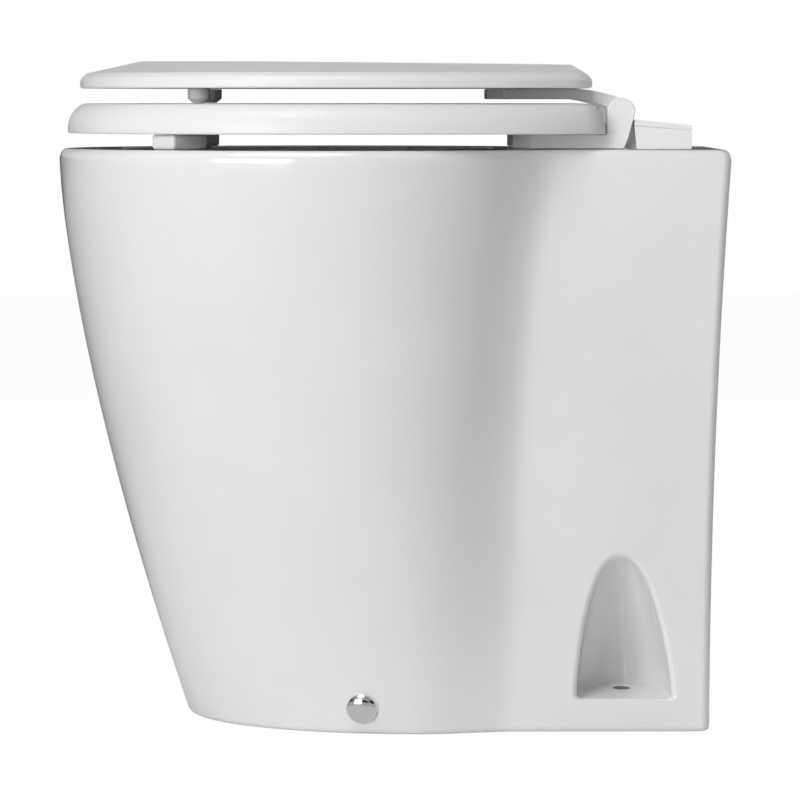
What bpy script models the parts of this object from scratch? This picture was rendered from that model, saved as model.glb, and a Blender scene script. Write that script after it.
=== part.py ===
"""Electric marine toilet: ceramic pan, hinged seat and lid, macerator pump and flush valve.

Metres, +Z up.  The front faces -Y and the origin is on the floor under the middle of the pan.
"""
import math

import bmesh
import bpy
from mathutils import Vector

# Pan, outside
PAN_LENGTH = 0.501
RIM_HEIGHT = 0.4295
RIM_HALF_WIDTH = 0.184
RIM_EDGE = 0.0085
RIM_EDGE_IN = 0.0055
FOOT_FLARE = 0.012
FOOT_EDGE = 0.004
FRONT_DRAW_IN = 0.097
BACK_DRAW_IN = 0.0141
WIDEST_AT_RIM = -0.045
WIDEST_AT_FOOT = 0.016
REAR_CURVE_AT_RIM = 0.1995
REAR_CURVE_AT_FOOT = 0.1145
BOX_HALF_WIDTH = 0.119
BOX_TAPER = 0.0015
BOX_CORNER = 0.0065
CREASE_BLEND = 0.022
FRONT_FALL_SHARE = 1.45
SIDE_FALL_SHARE = 1.35
WIDEST_FALL_SHARE = 1.3
REAR_FALL_SHARE = 0.8

# Pan, inside
WALL = 0.011
DECK_THICKNESS = 0.016
HOLLOW_CORNER = 0.006
BOWL_FRONT_SETBACK = 0.0505
BOWL_BACK_SETBACK = 0.0955
BOWL_SIDE_SETBACK = 0.054
BOWL_EDGE = 0.006
LIP_DEPTH = 0.0415
LIP_THICKNESS = 0.008
CHANNEL_WIDTH = 0.012
CHANNEL_HEIGHT = 0.020
BOWL_WALL = 0.009
SUMP_AHEAD_OF_PUMP = 0.0573
SUMP_Z = 0.165
THROAT_RADIUS = 0.024
SPIGOT_WALL = 0.008
SPIGOT_END = 0.132
SERVICE_HALF_WIDTH = 0.085
SERVICE_BELOW_RIM = 0.1595
SERVICE_CORNER = 0.030
BOWL_DEPTH_SHARES = (0.12, 0.28, 0.45, 0.62, 0.77, 0.89, 0.96, 1.0)
BOWL_FULLNESS_SHARE = 2.2
BOWL_ROUNDNESS_SHARE = 0.625

# Side recesses with a bolt hole in the ledge
RECESS_SETBACK = 0.0772
RECESS_LEAN = 0.003
RECESS_HALF_WIDTH = 0.035
RECESS_INNER_X = 0.053
RECESS_WALL = 0.007
LEDGE_HEIGHT = 0.0245
RECESS_FOOT = 0.004
RECESS_TOP = 0.130
LEDGE_HOLE_IN = 0.023
LEDGE_HOLE_RADIUS = 0.0065
RECESS_RISE_SHARES = (0.0, 0.2, 0.4, 0.6, 0.75, 0.87, 0.95, 0.99)

# Seat ring
SEAT_FRONT_SETBACK = 0.0062
SEAT_HINGE_GAP = 0.0116
SEAT_SIDE_SETBACK = 0.004
SEAT_REAR_CURVE = 0.260
SEAT_CORNER = 0.032
SEAT_STANDOFF = 0.0115
SEAT_THICKNESS = 0.0223
SEAT_ROUNDING = 0.0150
SEAT_FOOT_ROUND = 0.0015
SEAT_HOLE_FRONT_WIDTH = 0.0724
SEAT_HOLE_BACK_WIDTH = 0.0869
SEAT_HOLE_SIDE_WIDTH = 0.067
SEAT_HOLE_ROUNDING = 0.012

# Lid
LID_FRONT_SETBACK = 0.0158
LID_HINGE_GAP = 0.0215
LID_SIDE_SETBACK = 0.012
LID_REAR_CURVE = 0.250
LID_CORNER = 0.030
LID_STANDOFF = 0.0112
LID_EDGE_HEIGHT = 0.0115
LID_EDGE_LEAN = 0.0055
LID_BEVEL = 0.040
LID_REAR_BEVEL = 0.009
LID_RISE = 0.0207
LID_TOP_FALL = 0.0034
LID_FOOT_ROUND = 0.0015

# Buffers
SEAT_BUFFER_INSET = 0.0655
SEAT_BUFFER_SETBACK = 0.0905
SEAT_BUFFER_LENGTH = 0.037
SEAT_BUFFER_WIDTH = 0.0225
SEAT_BUFFER_EDGE = 0.0025
SEAT_BUFFER_TURN = math.radians(-40)
LID_BUFFER_INSET = 0.072
LID_BUFFER_SETBACK = 0.0945
LID_BUFFER_RADIUS = 0.0083
LID_BUFFER_CHAMFER = 0.0042
LID_BUFFER_FOOT = 0.0033

# Hinges
HINGE_SETBACK = 0.080
HINGE_ABOVE_SEAT_FOOT = 0.016
HINGE_HEAD_RADIUS = 0.0104
ARM_WIDTH = 0.014
LUG_WIDTH = 0.010
SEAT_ARM_INSET = 0.0305
PIN_RADIUS = 0.0039
PIN_CLEARANCE = 0.0001
PIN_DEPTH = 0.009
SEAT_ARM_REACH = 0.0801
SEAT_ARM_CHAMFER = 0.0145
SEAT_ARM_LEG = 0.0107
SEAT_ARM_UPRIGHT_FOOT = 0.0022
SEAT_ARM_TAPER_Y = 0.0052
SEAT_ARM_TAPER_Z = 0.0196
LID_ARM_REACH = 0.0983
LID_ARM_STRAIGHT = 0.036
LID_ARM_CHAMFER = 0.012
LID_ARM_LEG = 0.0078
LID_ARM_DROP = 0.0062
BLOCK_FRONT_GAP = 0.0098
BLOCK_LENGTH = 0.0422
BLOCK_HEIGHT = 0.022
BLOCK_FALL = 0.0041
BLOCK_LEAN = 0.0018
BLOCK_WIDTH = 0.034
CAP_THICKNESS = 0.0043
CAP_EDGE = 0.001
LUG_FOOT = 0.005
LUG_HEAD_RADIUS = 0.0095
BOLT_RADIUS = 0.004
BOLT_HEAD_RADIUS = 0.0070
BOLT_HEAD_HEIGHT = 0.0045
BOLT_WELL_RADIUS = 0.0088
BOLT_SEAT_HEIGHT = 0.0075
BOLT_BELOW_DECK = 0.0215
DECK_HOLE_RADIUS = 0.006
RUBBER_WASHER_RADIUS = 0.012
RUBBER_WASHER_THICKNESS = 0.003
WING_NUT_RADIUS = 0.008
WING_NUT_HEIGHT = 0.010
WING_SPAN = 0.034
WING_THICKNESS = 0.003
WING_HEIGHT = 0.012

# Floor fixing at the sides
SIDE_SCREW_Y = -0.0206
SIDE_SCREW_Z = 0.0197
SIDE_SCREW_RADIUS = 0.0025
SIDE_SCREW_LENGTH = 0.034
SIDE_SCREW_HEAD_RADIUS = 0.0055
SIDE_SCREW_HEAD_HEIGHT = 0.003
SIDE_HOLE_RADIUS = 0.0034
COVER_CAP_RADIUS = 0.0116
COVER_CAP_HEIGHT = 0.0062
COVER_CAP_WALL = 0.0022
BRACKET_WIDTH = 0.034
BRACKET_THICKNESS = 0.006
BRACKET_HEIGHT = 0.034
BRACKET_FOOT = 0.036
BRACKET_STANDOFF = 0.0014

# Macerator pump train, along Y
PUMP_Z = 0.060
PUMP_RADIUS = 0.046
PUMP_WALL = 0.006
PUMP_SETBACK = 0.2382
COVER_THICKNESS = 0.006
COVER_TAIL_LENGTH = 0.0113
COVER_TAIL_BORE = 0.019
HOUSING_LENGTH = 0.040
BLADE_LENGTH = 0.060
BLADE_WIDTH = 0.012
BLADE_THICKNESS = 0.003
BLADE_AT = 0.0029
PLATE_AT = 0.0069
PLATE_THICKNESS = 0.002
PLATE_HOLE_RADIUS = 0.006
PLATE_HOLE_CIRCLE = 0.025
IMPELLER_AT = 0.0104
IMPELLER_LENGTH = 0.020
IMPELLER_DISC = 0.003
IMPELLER_RADIUS = 0.034
IMPELLER_HUB = 0.009
VANE_THICKNESS = 0.003
SEAL_RADIUS = 0.012
FLANGE_THICKNESS = 0.007
MOTOR_RADIUS = 0.036
MOTOR_LENGTH = 0.104
CAN_WALL = 0.003
CAN_FRONT_WALL = 0.009
BEARING_RADIUS = 0.011
BEARING_WIDTH = 0.0064
END_CAP_THICKNESS = 0.010
END_CAP_SPIGOT = 0.005
SHAFT_RADIUS = 0.004
SHAFT_STAND_IN = 0.0019
SHAFT_SLIP = 0.0003
ARMATURE_RADIUS = 0.0235
ARMATURE_LENGTH = 0.050
ARMATURE_AT = 0.020
COMMUTATOR_RADIUS = 0.011
COMMUTATOR_LENGTH = 0.013
MAGNET_THICKNESS = 0.0082
GLAND_RADIUS = 0.0095
GLAND_NECK_RADIUS = 0.0065
GLAND_LENGTH = 0.016
GLAND_BORE = 0.003
GLAND_RISE = 0.020
BASE_THICKNESS = 0.006
BASE_HALF_WIDTH = 0.040
BASE_AHEAD = 0.0002
BASE_LENGTH = 0.100
SADDLE_WIDTH = 0.008
SADDLE_AHEAD = 0.0192
SADDLE_SPACING = 0.070
STRAP_WIDTH = 0.018
STRAP_REACH = 0.0425
STRAP_THICKNESS = 0.002
BASE_HOLE_RADIUS = 0.003
BASE_HOLE_INSET = 0.008

# Bowl outlet to pump
SEAL_RING_THICKNESS = 0.0034
SEAL_RING_HEIGHT = 0.016
ELBOW_RADIUS = 0.028
ELBOW_WALL = 0.004
ELBOW_SOCKET_RADIUS = 0.0400
ELBOW_SOCKET_DEPTH = 0.0215
ELBOW_STEP = 0.0024
ELBOW_BEND = 0.045

# Discharge
PORT_RADIUS = 0.0165
PORT_BORE = 0.0125
PORT_BEHIND_COVER = 0.0297
PORT_TOP = 0.118
DISCHARGE_WALL = 0.0037
DISCHARGE_Z = 0.155
DISCHARGE_BEND = 0.032
DISCHARGE_RUN = 0.088
DISCHARGE_SOCKET_DEPTH = 0.0115
FLAP_SOCKET_LENGTH = 0.012
FLAP_CHAMBER_RADIUS = 0.027
FLAP_CHAMBER_WALL = 0.0035
FLAP_CHAMBER_LENGTH = 0.052
FLAP_SEAT_THICKNESS = 0.004
FLAP_RADIUS = 0.0172
FLAP_THICKNESS = 0.0025
FLAP_BARREL_RADIUS = 0.003
FLAP_BARREL_LENGTH = 0.010
FLAP_PIN_RADIUS = 0.0012
FLAP_PIN_LENGTH = 0.0326
FLAP_PIN_RISE = 0.0185
FLAP_PIN_BACK = 0.0038
TAIL_FLANGE = 0.004
TAIL_SPIGOT = 0.006
TAIL_SETBACK = 0.0135

# Flush inlet and solenoid valve
INLET_BELOW_RIM = 0.033
INLET_BOSS_RADIUS = 0.020
INLET_BOSS_LENGTH = 0.038
INLET_HOLE_RADIUS = 0.0085
SPUD_BORE = 0.005
SPUD_NECK_LENGTH = 0.0256
SPUD_FLANGE_RADIUS = 0.016
SPUD_FLANGE_THICKNESS = 0.003
SPUD_TAIL_RADIUS = 0.0095
SPUD_TAIL_LENGTH = 0.014
GASKET_THICKNESS = 0.002
VALVE_RADIUS = 0.0130
VALVE_LENGTH = 0.070
VALVE_BORE = 0.006
VALVE_TAIL_RADIUS = 0.009
VALVE_TAIL_LENGTH = 0.020
VALVE_STEM_BEHIND = 0.047
VALVE_STEM_RADIUS = 0.0155
VALVE_STEM_LENGTH = 0.0285
GUIDE_RADIUS = 0.0072
GUIDE_WALL = 0.0015
GUIDE_FLANGE_RADIUS = 0.013
GUIDE_FLANGE_THICKNESS = 0.003
GUIDE_ABOVE_STEM_END = 0.008
GUIDE_LENGTH = 0.062
COIL_RADIUS = 0.0175
COIL_LENGTH = 0.040
CLIP_RADIUS = 0.011
CLIP_LENGTH = 0.005
PLUNGER_RADIUS = 0.0052
PLUNGER_ABOVE_GUIDE_FOOT = 0.015
SPRING_RADIUS = 0.0038
SPRING_WIRE = 0.0005
SPRING_TURNS = 7

# Fits and mesh steps
GAP = 0.0003
OVERRUN = 0.006
WELD = 0.00001
ROUND_STEPS = 16
FINE_STEPS = 24
PIN_STEPS = 24
OVAL_STEPS = 36
FRONT_STEPS = 12
REAR_STEPS = 9
CORNER_STEPS = 4
LEVEL_STEPS = 12

# Places that follow from the sizes above
HALF_LENGTH = PAN_LENGTH / 2
PROFILE_HEIGHT = RIM_HEIGHT - RIM_EDGE
DECK_UNDERSIDE = RIM_HEIGHT - DECK_THICKNESS
FOOT_HALF_WIDTH = BOX_HALF_WIDTH + FOOT_FLARE
HINGE_Y = HALF_LENGTH - HINGE_SETBACK
BOWL_FRONT = -HALF_LENGTH + BOWL_FRONT_SETBACK
BOWL_BACK = HINGE_Y - BOWL_BACK_SETBACK
BOWL_CENTRE = (BOWL_FRONT + BOWL_BACK) / 2
BOWL_HALF_LENGTH = (BOWL_BACK - BOWL_FRONT) / 2
BOWL_HALF_WIDTH = RIM_HALF_WIDTH - BOWL_SIDE_SETBACK
SERVICE_HEIGHT = RIM_HEIGHT - SERVICE_BELOW_RIM
RECESS_Y = HALF_LENGTH - RECESS_SETBACK
RECESS_DEPTH = BOX_HALF_WIDTH - RECESS_INNER_X
LEDGE_HOLE_X = RECESS_INNER_X + LEDGE_HOLE_IN
SEAT_HALF_WIDTH = RIM_HALF_WIDTH - SEAT_SIDE_SETBACK
SEAT_FRONT = -HALF_LENGTH + SEAT_FRONT_SETBACK
SEAT_BACK = HINGE_Y - SEAT_HINGE_GAP
SEAT_BOTTOM = RIM_HEIGHT + SEAT_STANDOFF
SEAT_TOP = SEAT_BOTTOM + SEAT_THICKNESS
SEAT_HOLE_FRONT = SEAT_FRONT + SEAT_HOLE_FRONT_WIDTH
SEAT_HOLE_BACK = SEAT_BACK - SEAT_HOLE_BACK_WIDTH
SEAT_HOLE_HALF_WIDTH = SEAT_HALF_WIDTH - SEAT_HOLE_SIDE_WIDTH
LID_FRONT = -HALF_LENGTH + LID_FRONT_SETBACK
LID_BACK = HINGE_Y - LID_HINGE_GAP
LID_HALF_WIDTH = RIM_HALF_WIDTH - LID_SIDE_SETBACK
LID_BOTTOM = SEAT_TOP + LID_STANDOFF
SEAT_BUFFER_X = SEAT_HALF_WIDTH - SEAT_BUFFER_INSET
SEAT_BUFFER_Y = SEAT_FRONT + SEAT_BUFFER_SETBACK
LID_BUFFER_X = LID_HALF_WIDTH - LID_BUFFER_INSET
LID_BUFFER_Y = LID_FRONT + LID_BUFFER_SETBACK
HINGE_Z = SEAT_BOTTOM + HINGE_ABOVE_SEAT_FOOT
SEAT_ARM_X = BOX_HALF_WIDTH - SEAT_ARM_INSET
BLOCK_FRONT = HINGE_Y + BLOCK_FRONT_GAP
BLOCK_BACK = BLOCK_FRONT + BLOCK_LENGTH
BOLT_Y = (BLOCK_FRONT + BLOCK_BACK) / 2
BOLT_END = DECK_UNDERSIDE - BOLT_BELOW_DECK
COVER_FRONT = HALF_LENGTH - PUMP_SETBACK
SUMP_Y = COVER_FRONT - SUMP_AHEAD_OF_PUMP
HOUSING_FRONT = COVER_FRONT + COVER_THICKNESS + GAP
HOUSING_BACK = HOUSING_FRONT + HOUSING_LENGTH
MOTOR_FRONT = HOUSING_BACK + GAP + FLANGE_THICKNESS
MOTOR_BACK = MOTOR_FRONT + MOTOR_LENGTH
SHAFT_FRONT = HOUSING_FRONT + SHAFT_STAND_IN
BASE_FRONT = MOTOR_FRONT + BASE_AHEAD
BASE_BACK = BASE_FRONT + BASE_LENGTH
SADDLE_HALF_WIDTH = MOTOR_RADIUS + CAN_WALL
SADDLE_FRONT = MOTOR_FRONT + SADDLE_AHEAD
SADDLE_BACK = SADDLE_FRONT + SADDLE_SPACING
STRAP_Y = (SADDLE_FRONT + SADDLE_BACK) / 2
ELBOW_SOCKET_TOP = SPIGOT_END + ELBOW_SOCKET_DEPTH
PORT_Y = COVER_FRONT + PORT_BEHIND_COVER
DISCHARGE_ELBOW_END = PORT_Y + DISCHARGE_RUN
DISCHARGE_ELBOW_LOW = PORT_TOP - DISCHARGE_SOCKET_DEPTH
TAIL_END = HALF_LENGTH - TAIL_SETBACK
INLET_Z = RIM_HEIGHT - INLET_BELOW_RIM
INLET_BOSS_FACE = BOWL_BACK + INLET_BOSS_LENGTH
VALVE_STEM_Y = INLET_BOSS_FACE + VALVE_STEM_BEHIND
VALVE_STEM_END = INLET_Z - VALVE_STEM_LENGTH
GUIDE_TOP = VALVE_STEM_END + GUIDE_ABOVE_STEM_END
GUIDE_BOTTOM = GUIDE_TOP - GUIDE_LENGTH
PLUNGER_BOTTOM = GUIDE_BOTTOM + PLUNGER_ABOVE_GUIDE_FOOT
HINGE_AXIS = Vector((0, HINGE_Y, HINGE_Z))
PUMP_AXIS = Vector((0, 0, PUMP_Z))
SIDES = {"left": -1, "right": 1}
ALONG_Y = Vector((0, 1, 0))
UP = Vector((0, 0, 1))


# Scene, collections and materials

def clear_scene():
    for obj in list(bpy.data.objects):
        bpy.data.objects.remove(obj, do_unlink=True)


def collection(name):
    found = bpy.data.collections.new(name)
    bpy.context.scene.collection.children.link(found)
    return found


def principled(name, color, roughness, metallic=0.0):
    mat = bpy.data.materials.new(name)
    mat.use_nodes = True
    shader = mat.node_tree.nodes["Principled BSDF"]
    shader.inputs["Base Color"].default_value = (*color, 1.0)
    shader.inputs["Roughness"].default_value = roughness
    shader.inputs["Metallic"].default_value = metallic
    mat.diffuse_color = (*color, 1.0)
    return mat


clear_scene()
PARTS = collection("electric_marine_toilet")
CUTTERS = collection("cutters")
CERAMIC = principled("glazed_ceramic", (0.86, 0.87, 0.88), 0.08)
SEAT_PLASTIC = principled("white_moulding", (0.87, 0.87, 0.86), 0.25)
HINGE_PLASTIC = principled("hinge_plastic", (0.88, 0.88, 0.89), 0.35)
BUFFER_PLASTIC = principled("buffer_plastic", (0.80, 0.80, 0.80), 0.45)
CHROME = principled("chrome", (0.75, 0.75, 0.77), 0.06, 1.0)
STAINLESS = principled("stainless_steel", (0.62, 0.62, 0.63), 0.28, 1.0)
RUBBER = principled("black_rubber", (0.03, 0.03, 0.03), 0.7)
PUMP_PLASTIC = principled("black_plastic", (0.05, 0.05, 0.055), 0.4)
PIPE_PLASTIC = principled("grey_pipe", (0.45, 0.46, 0.48), 0.4)
MOTOR_PAINT = principled("motor_paint", (0.12, 0.13, 0.15), 0.45, 0.3)
IRON = principled("motor_iron", (0.30, 0.30, 0.32), 0.5, 0.8)
COPPER = principled("copper", (0.72, 0.42, 0.25), 0.35, 1.0)
BRACKET_NYLON = principled("bracket_nylon", (0.78, 0.78, 0.74), 0.5)


# Ways of making shapes

def add_object(name, mesh, mat=None, location=(0, 0, 0)):
    obj = bpy.data.objects.new(name, mesh)
    obj.location = location
    if mat:
        mesh.materials.append(mat)
        PARTS.objects.link(obj)
    else:
        CUTTERS.objects.link(obj)
        obj.hide_render = True
        obj.display_type = "WIRE"
    return obj


def smooth(obj, angle=math.radians(35)):
    obj.data.shade_smooth()
    obj.data.set_sharp_from_angle(angle=angle)
    return obj


def aim(obj, direction):
    obj.rotation_mode = "QUATERNION"
    obj.rotation_quaternion = UP.rotation_difference(Vector(direction))
    return obj


def box(name, low, high, mat=None):
    """A block between two opposite corners."""
    low, high = Vector(low), Vector(high)
    bm = bmesh.new()
    bmesh.ops.create_cube(bm, size=1)
    bmesh.ops.scale(bm, vec=high - low, verts=bm.verts)
    mesh = bpy.data.meshes.new(name)
    bm.to_mesh(mesh)
    bm.free()
    return add_object(name, mesh, mat, (low + high) / 2)


def rod(name, radius, start, direction, length, mat=None, steps=ROUND_STEPS):
    """A round bar that starts at a point and runs along a direction."""
    bm = bmesh.new()
    bmesh.ops.create_cone(bm, cap_ends=True, segments=steps, radius1=radius, radius2=radius, depth=length)
    bmesh.ops.translate(bm, vec=UP * length / 2, verts=bm.verts)
    mesh = bpy.data.meshes.new(name)
    bm.to_mesh(mesh)
    bm.free()
    obj = aim(add_object(name, mesh, mat, start), direction)
    return smooth(obj)


def turned(name, profile, mat=None, location=(0, 0, 0), direction=UP, steps=ROUND_STEPS):
    """A profile of (radius, height) points, outer side from top to bottom, turned about its axis."""
    mesh = bpy.data.meshes.new(name)
    count = len(profile)
    closed = all(radius > 0 for radius, _ in profile)
    edges = [(i, (i + 1) % count) for i in range(count if closed else count - 1)]
    mesh.from_pydata([(radius, 0, height) for radius, height in profile], edges, [])
    obj = aim(add_object(name, mesh, mat, location), direction)
    screw = obj.modifiers.new("turn", "SCREW")
    screw.angle = 2 * math.pi
    screw.steps = screw.render_steps = steps
    screw.use_merge_vertices = True
    screw.merge_threshold = WELD
    screw.use_smooth_shade = True
    return obj


def ring(name, outer, inner, low, high, mat=None, location=(0, 0, 0), direction=UP, steps=ROUND_STEPS):
    profile = [(outer, high), (outer, low), (inner, low), (inner, high)]
    return turned(name, profile, mat, location, direction, steps)


def loft(name, rings, mat=None):
    """A closed skin over a stack of rings with equal point counts, lowest ring first."""
    bm = bmesh.new()
    rows = [[bm.verts.new(point) for point in points] for points in rings]
    count = len(rows[0])
    for lower, upper in zip(rows, rows[1:]):
        for i in range(count):
            j = (i + 1) % count
            bm.faces.new((lower[i], lower[j], upper[j], upper[i]))
    bm.faces.new(reversed(rows[0]))
    bm.faces.new(rows[-1])
    bmesh.ops.recalc_face_normals(bm, faces=bm.faces)
    mesh = bpy.data.meshes.new(name)
    bm.to_mesh(mesh)
    bm.free()
    return smooth(add_object(name, mesh, mat))


def curve_mesh(curve, location=(0, 0, 0), welded=True):
    """The mesh that a curve evaluates to, with its caps joined on."""
    obj = bpy.data.objects.new("curve", curve)
    obj.location = location
    bpy.context.scene.collection.objects.link(obj)
    bpy.context.view_layer.update()
    mesh = bpy.data.meshes.new_from_object(obj.evaluated_get(bpy.context.evaluated_depsgraph_get()))
    bpy.data.objects.remove(obj)
    bpy.data.curves.remove(curve)
    if welded:
        bm = bmesh.new()
        bm.from_mesh(mesh)
        bmesh.ops.remove_doubles(bm, verts=bm.verts, dist=WELD)
        bm.to_mesh(mesh)
        bm.free()
    return mesh


def side_plate(name, outline, middle_x, width, mat=None):
    """An outline of (y, z) points, made as thick as width across X."""
    curve = bpy.data.curves.new(name, "CURVE")
    curve.dimensions = "2D"
    curve.fill_mode = "BOTH"
    curve.extrude = width / 2
    spline = curve.splines.new("POLY")
    spline.points.add(len(outline) - 1)
    for point, (y, z) in zip(spline.points, outline):
        point.co = (y, z, 0, 1)
    spline.use_cyclic_u = True
    obj = add_object(name, curve_mesh(curve), mat, (middle_x, 0, 0))
    obj.rotation_euler = (math.radians(90), 0, math.radians(90))
    return smooth(obj)


def tube(name, points, radii, mat=None, wall=0, steps=FINE_STEPS):
    """A tube along points, solid where wall is zero, otherwise open at both ends."""
    curve = bpy.data.curves.new(name, "CURVE")
    curve.dimensions = "3D"
    curve.bevel_depth = 1
    curve.bevel_resolution = steps // 2 - 2
    curve.use_fill_caps = wall == 0
    spline = curve.splines.new("POLY")
    spline.points.add(len(points) - 1)
    for point, place, radius in zip(spline.points, points, radii):
        point.co = (*place, 1)
        point.radius = radius
    obj = add_object(name, curve_mesh(curve), mat)
    if wall:
        shell = obj.modifiers.new("wall", "SOLIDIFY")
        shell.thickness = wall
        shell.offset = -1
        shell.use_even_offset = True
    return smooth(obj)


def combine(obj, others, operation="DIFFERENCE"):
    for other in others:
        step = obj.modifiers.new(other.name, "BOOLEAN")
        step.operation = operation
        step.solver = "EXACT"
        step.object = other
    return obj


def bevel(obj, width, segments=2, angle=math.radians(40)):
    edge = obj.modifiers.new("edges", "BEVEL")
    edge.width = width
    edge.segments = segments
    edge.limit_method = "ANGLE"
    edge.angle_limit = angle
    return obj


def axis_empty(name, location):
    empty = bpy.data.objects.new(name, None)
    empty.location = location
    PARTS.objects.link(empty)
    return empty


def carry(empty, objects):
    for obj in objects:
        obj.parent = empty
        obj.location -= empty.location


def arc(centre, radius, start, end, steps):
    """Points of an arc in a plane, both ends included."""
    angles = [start + (end - start) * i / steps for i in range(steps + 1)]
    return [(centre[0] + radius * math.cos(a), centre[1] + radius * math.sin(a)) for a in angles]


def mirrored_ring(half, height):
    """A closed ring from a half outline that runs from the front tip to the back on the +X side."""
    right = [Vector((x, y, height)) for x, y in half]
    left = [Vector((-x, y, height)) for x, y in reversed(half[1:-1])]
    return right + left


# Outline of the pan

def fall(height):
    """How far a level lies from the rim to the floor, from 0 to 1."""
    return min(max((PROFILE_HEIGHT - height) / PROFILE_HEIGHT, 0), 1)


def soft_maximum(a, b, blend):
    """The larger of two lengths, with a fillet where they meet."""
    overlap = max(blend - abs(a - b), 0) / blend
    return max(a, b) + overlap * overlap * blend / 4


def pan_level(height, inset=0):
    """The driving lengths of the pan's outline at one level, drawn in by an inset."""
    down = fall(height)
    widest = WIDEST_AT_RIM + (WIDEST_AT_FOOT - WIDEST_AT_RIM) * down ** WIDEST_FALL_SHARE
    front = -HALF_LENGTH + FRONT_DRAW_IN * down ** FRONT_FALL_SHARE
    half_width = RIM_HALF_WIDTH - (RIM_HALF_WIDTH - FOOT_HALF_WIDTH) * down ** SIDE_FALL_SHARE
    rear = REAR_CURVE_AT_RIM + (REAR_CURVE_AT_FOOT - REAR_CURVE_AT_RIM) * down ** REAR_FALL_SHARE
    back = HALF_LENGTH - BACK_DRAW_IN * (1 - (1 - down) ** 2)
    return widest, widest - front - inset, half_width - inset, rear - inset, back - inset


def box_side(y, inset=0):
    """Half width of the boxy rear at a place along Y."""
    return BOX_HALF_WIDTH - inset - BOX_TAPER * y / HALF_LENGTH


def pan_half_outline(height, inset, corner, front_steps=FRONT_STEPS, rear_steps=REAR_STEPS):
    widest, forward, half_width, rear, back = pan_level(height, inset)
    points = []
    for i in range(front_steps + 1):
        turn = math.pi / 2 * i / front_steps
        points.append((half_width * math.sin(turn), widest - forward * math.cos(turn)))
    crease = widest + rear * math.sqrt(1 - (BOX_HALF_WIDTH / (half_width + inset)) ** 2)
    blend_end = crease + 1.5 * CREASE_BLEND
    for i in range(1, rear_steps + 1):
        y = widest + (blend_end - widest) * i / rear_steps
        bow = half_width * math.sqrt(max(1 - ((y - widest) / rear) ** 2, 0))
        points.append((soft_maximum(bow, box_side(y, inset), CREASE_BLEND), y))
    corner_y = back - corner
    corner_x = box_side(corner_y, inset) - corner
    points += arc((corner_x, corner_y), corner, 0, math.pi / 2, CORNER_STEPS)
    points.append((0, back))
    return points


def skirt_point(side, y, height):
    """A point on the outer skirt ahead of the crease, and the outward normal there."""
    def half_width(at_y, at_z):
        widest, forward, half, rear, _ = pan_level(at_z)
        reach = forward if at_y < widest else rear
        return half * math.sqrt(1 - ((at_y - widest) / reach) ** 2)

    step = GAP
    here = half_width(y, height)
    slope_y = (half_width(y + step, height) - here) / step
    slope_z = (half_width(y, height + step) - here) / step
    normal = Vector((side, -slope_y, -slope_z)).normalized()
    return Vector((side * here, y, height)), normal


# Pan

def pan_rings():
    """Levels of the outer skin, from the rounded foot to the rounded rim."""
    rings = []
    for turn in (0, math.pi / 4):
        height = FOOT_EDGE * (1 - math.cos(turn)) if turn else 0
        inset = FOOT_EDGE * (1 - math.sin(turn))
        rings.append(mirrored_ring(pan_half_outline(height, inset, BOX_CORNER), height))
    for i in range(LEVEL_STEPS + 1):
        height = FOOT_EDGE + (PROFILE_HEIGHT - FOOT_EDGE) * i / LEVEL_STEPS
        rings.append(mirrored_ring(pan_half_outline(height, 0, BOX_CORNER), height))
    for i in range(1, 4):
        turn = math.pi / 2 * i / 3
        height = PROFILE_HEIGHT + RIM_EDGE * math.sin(turn)
        inset = RIM_EDGE_IN * (1 - math.cos(turn))
        rings.append(mirrored_ring(pan_half_outline(height, inset, BOX_CORNER), height))
    return rings


def oval(half_width, half_length, centre, height, steps=OVAL_STEPS):
    turns = [2 * math.pi * i / steps for i in range(steps)]
    return [Vector((half_width * math.cos(t), centre + half_length * math.sin(t), height)) for t in turns]


def bowl_wall_rings(grow, drop, throat):
    """The bowl's surface from the rim channel down to the throat, lowest ring last."""
    top = RIM_HEIGHT - LIP_DEPTH - drop
    wide = BOWL_HALF_WIDTH + LIP_THICKNESS + CHANNEL_WIDTH + grow
    long = BOWL_HALF_LENGTH + LIP_THICKNESS + CHANNEL_WIDTH + grow
    rings = [oval(wide, long, BOWL_CENTRE, top)]
    for depth in BOWL_DEPTH_SHARES:
        share = (1 - depth ** BOWL_FULLNESS_SHARE) ** BOWL_ROUNDNESS_SHARE
        centre = BOWL_CENTRE + (SUMP_Y - BOWL_CENTRE) * depth
        height = top + (SUMP_Z - drop - top) * depth
        rings.append(oval(throat + (wide - throat) * share, throat + (long - throat) * share, centre, height))
    return rings


def bowl_cutter():
    """The space inside the bowl, with the rim's overhang and the water channel behind its lip."""
    lip_z = RIM_HEIGHT - LIP_DEPTH
    roof_z = lip_z + CHANNEL_HEIGHT
    steps = [
        (BOWL_EDGE, RIM_HEIGHT + OVERRUN),
        (BOWL_EDGE, RIM_HEIGHT),
        (0, RIM_HEIGHT - BOWL_EDGE),
        (0, lip_z),
        (LIP_THICKNESS, lip_z),
        (LIP_THICKNESS, roof_z),
        (LIP_THICKNESS + CHANNEL_WIDTH, roof_z),
    ]
    rings = [oval(BOWL_HALF_WIDTH + grow, BOWL_HALF_LENGTH + grow, BOWL_CENTRE, z) for grow, z in steps]
    rings += bowl_wall_rings(0, 0, THROAT_RADIUS)
    rings.append(oval(THROAT_RADIUS, THROAT_RADIUS, SUMP_Y, SPIGOT_END - OVERRUN))
    return loft("bowl_space", rings[::-1])


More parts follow.
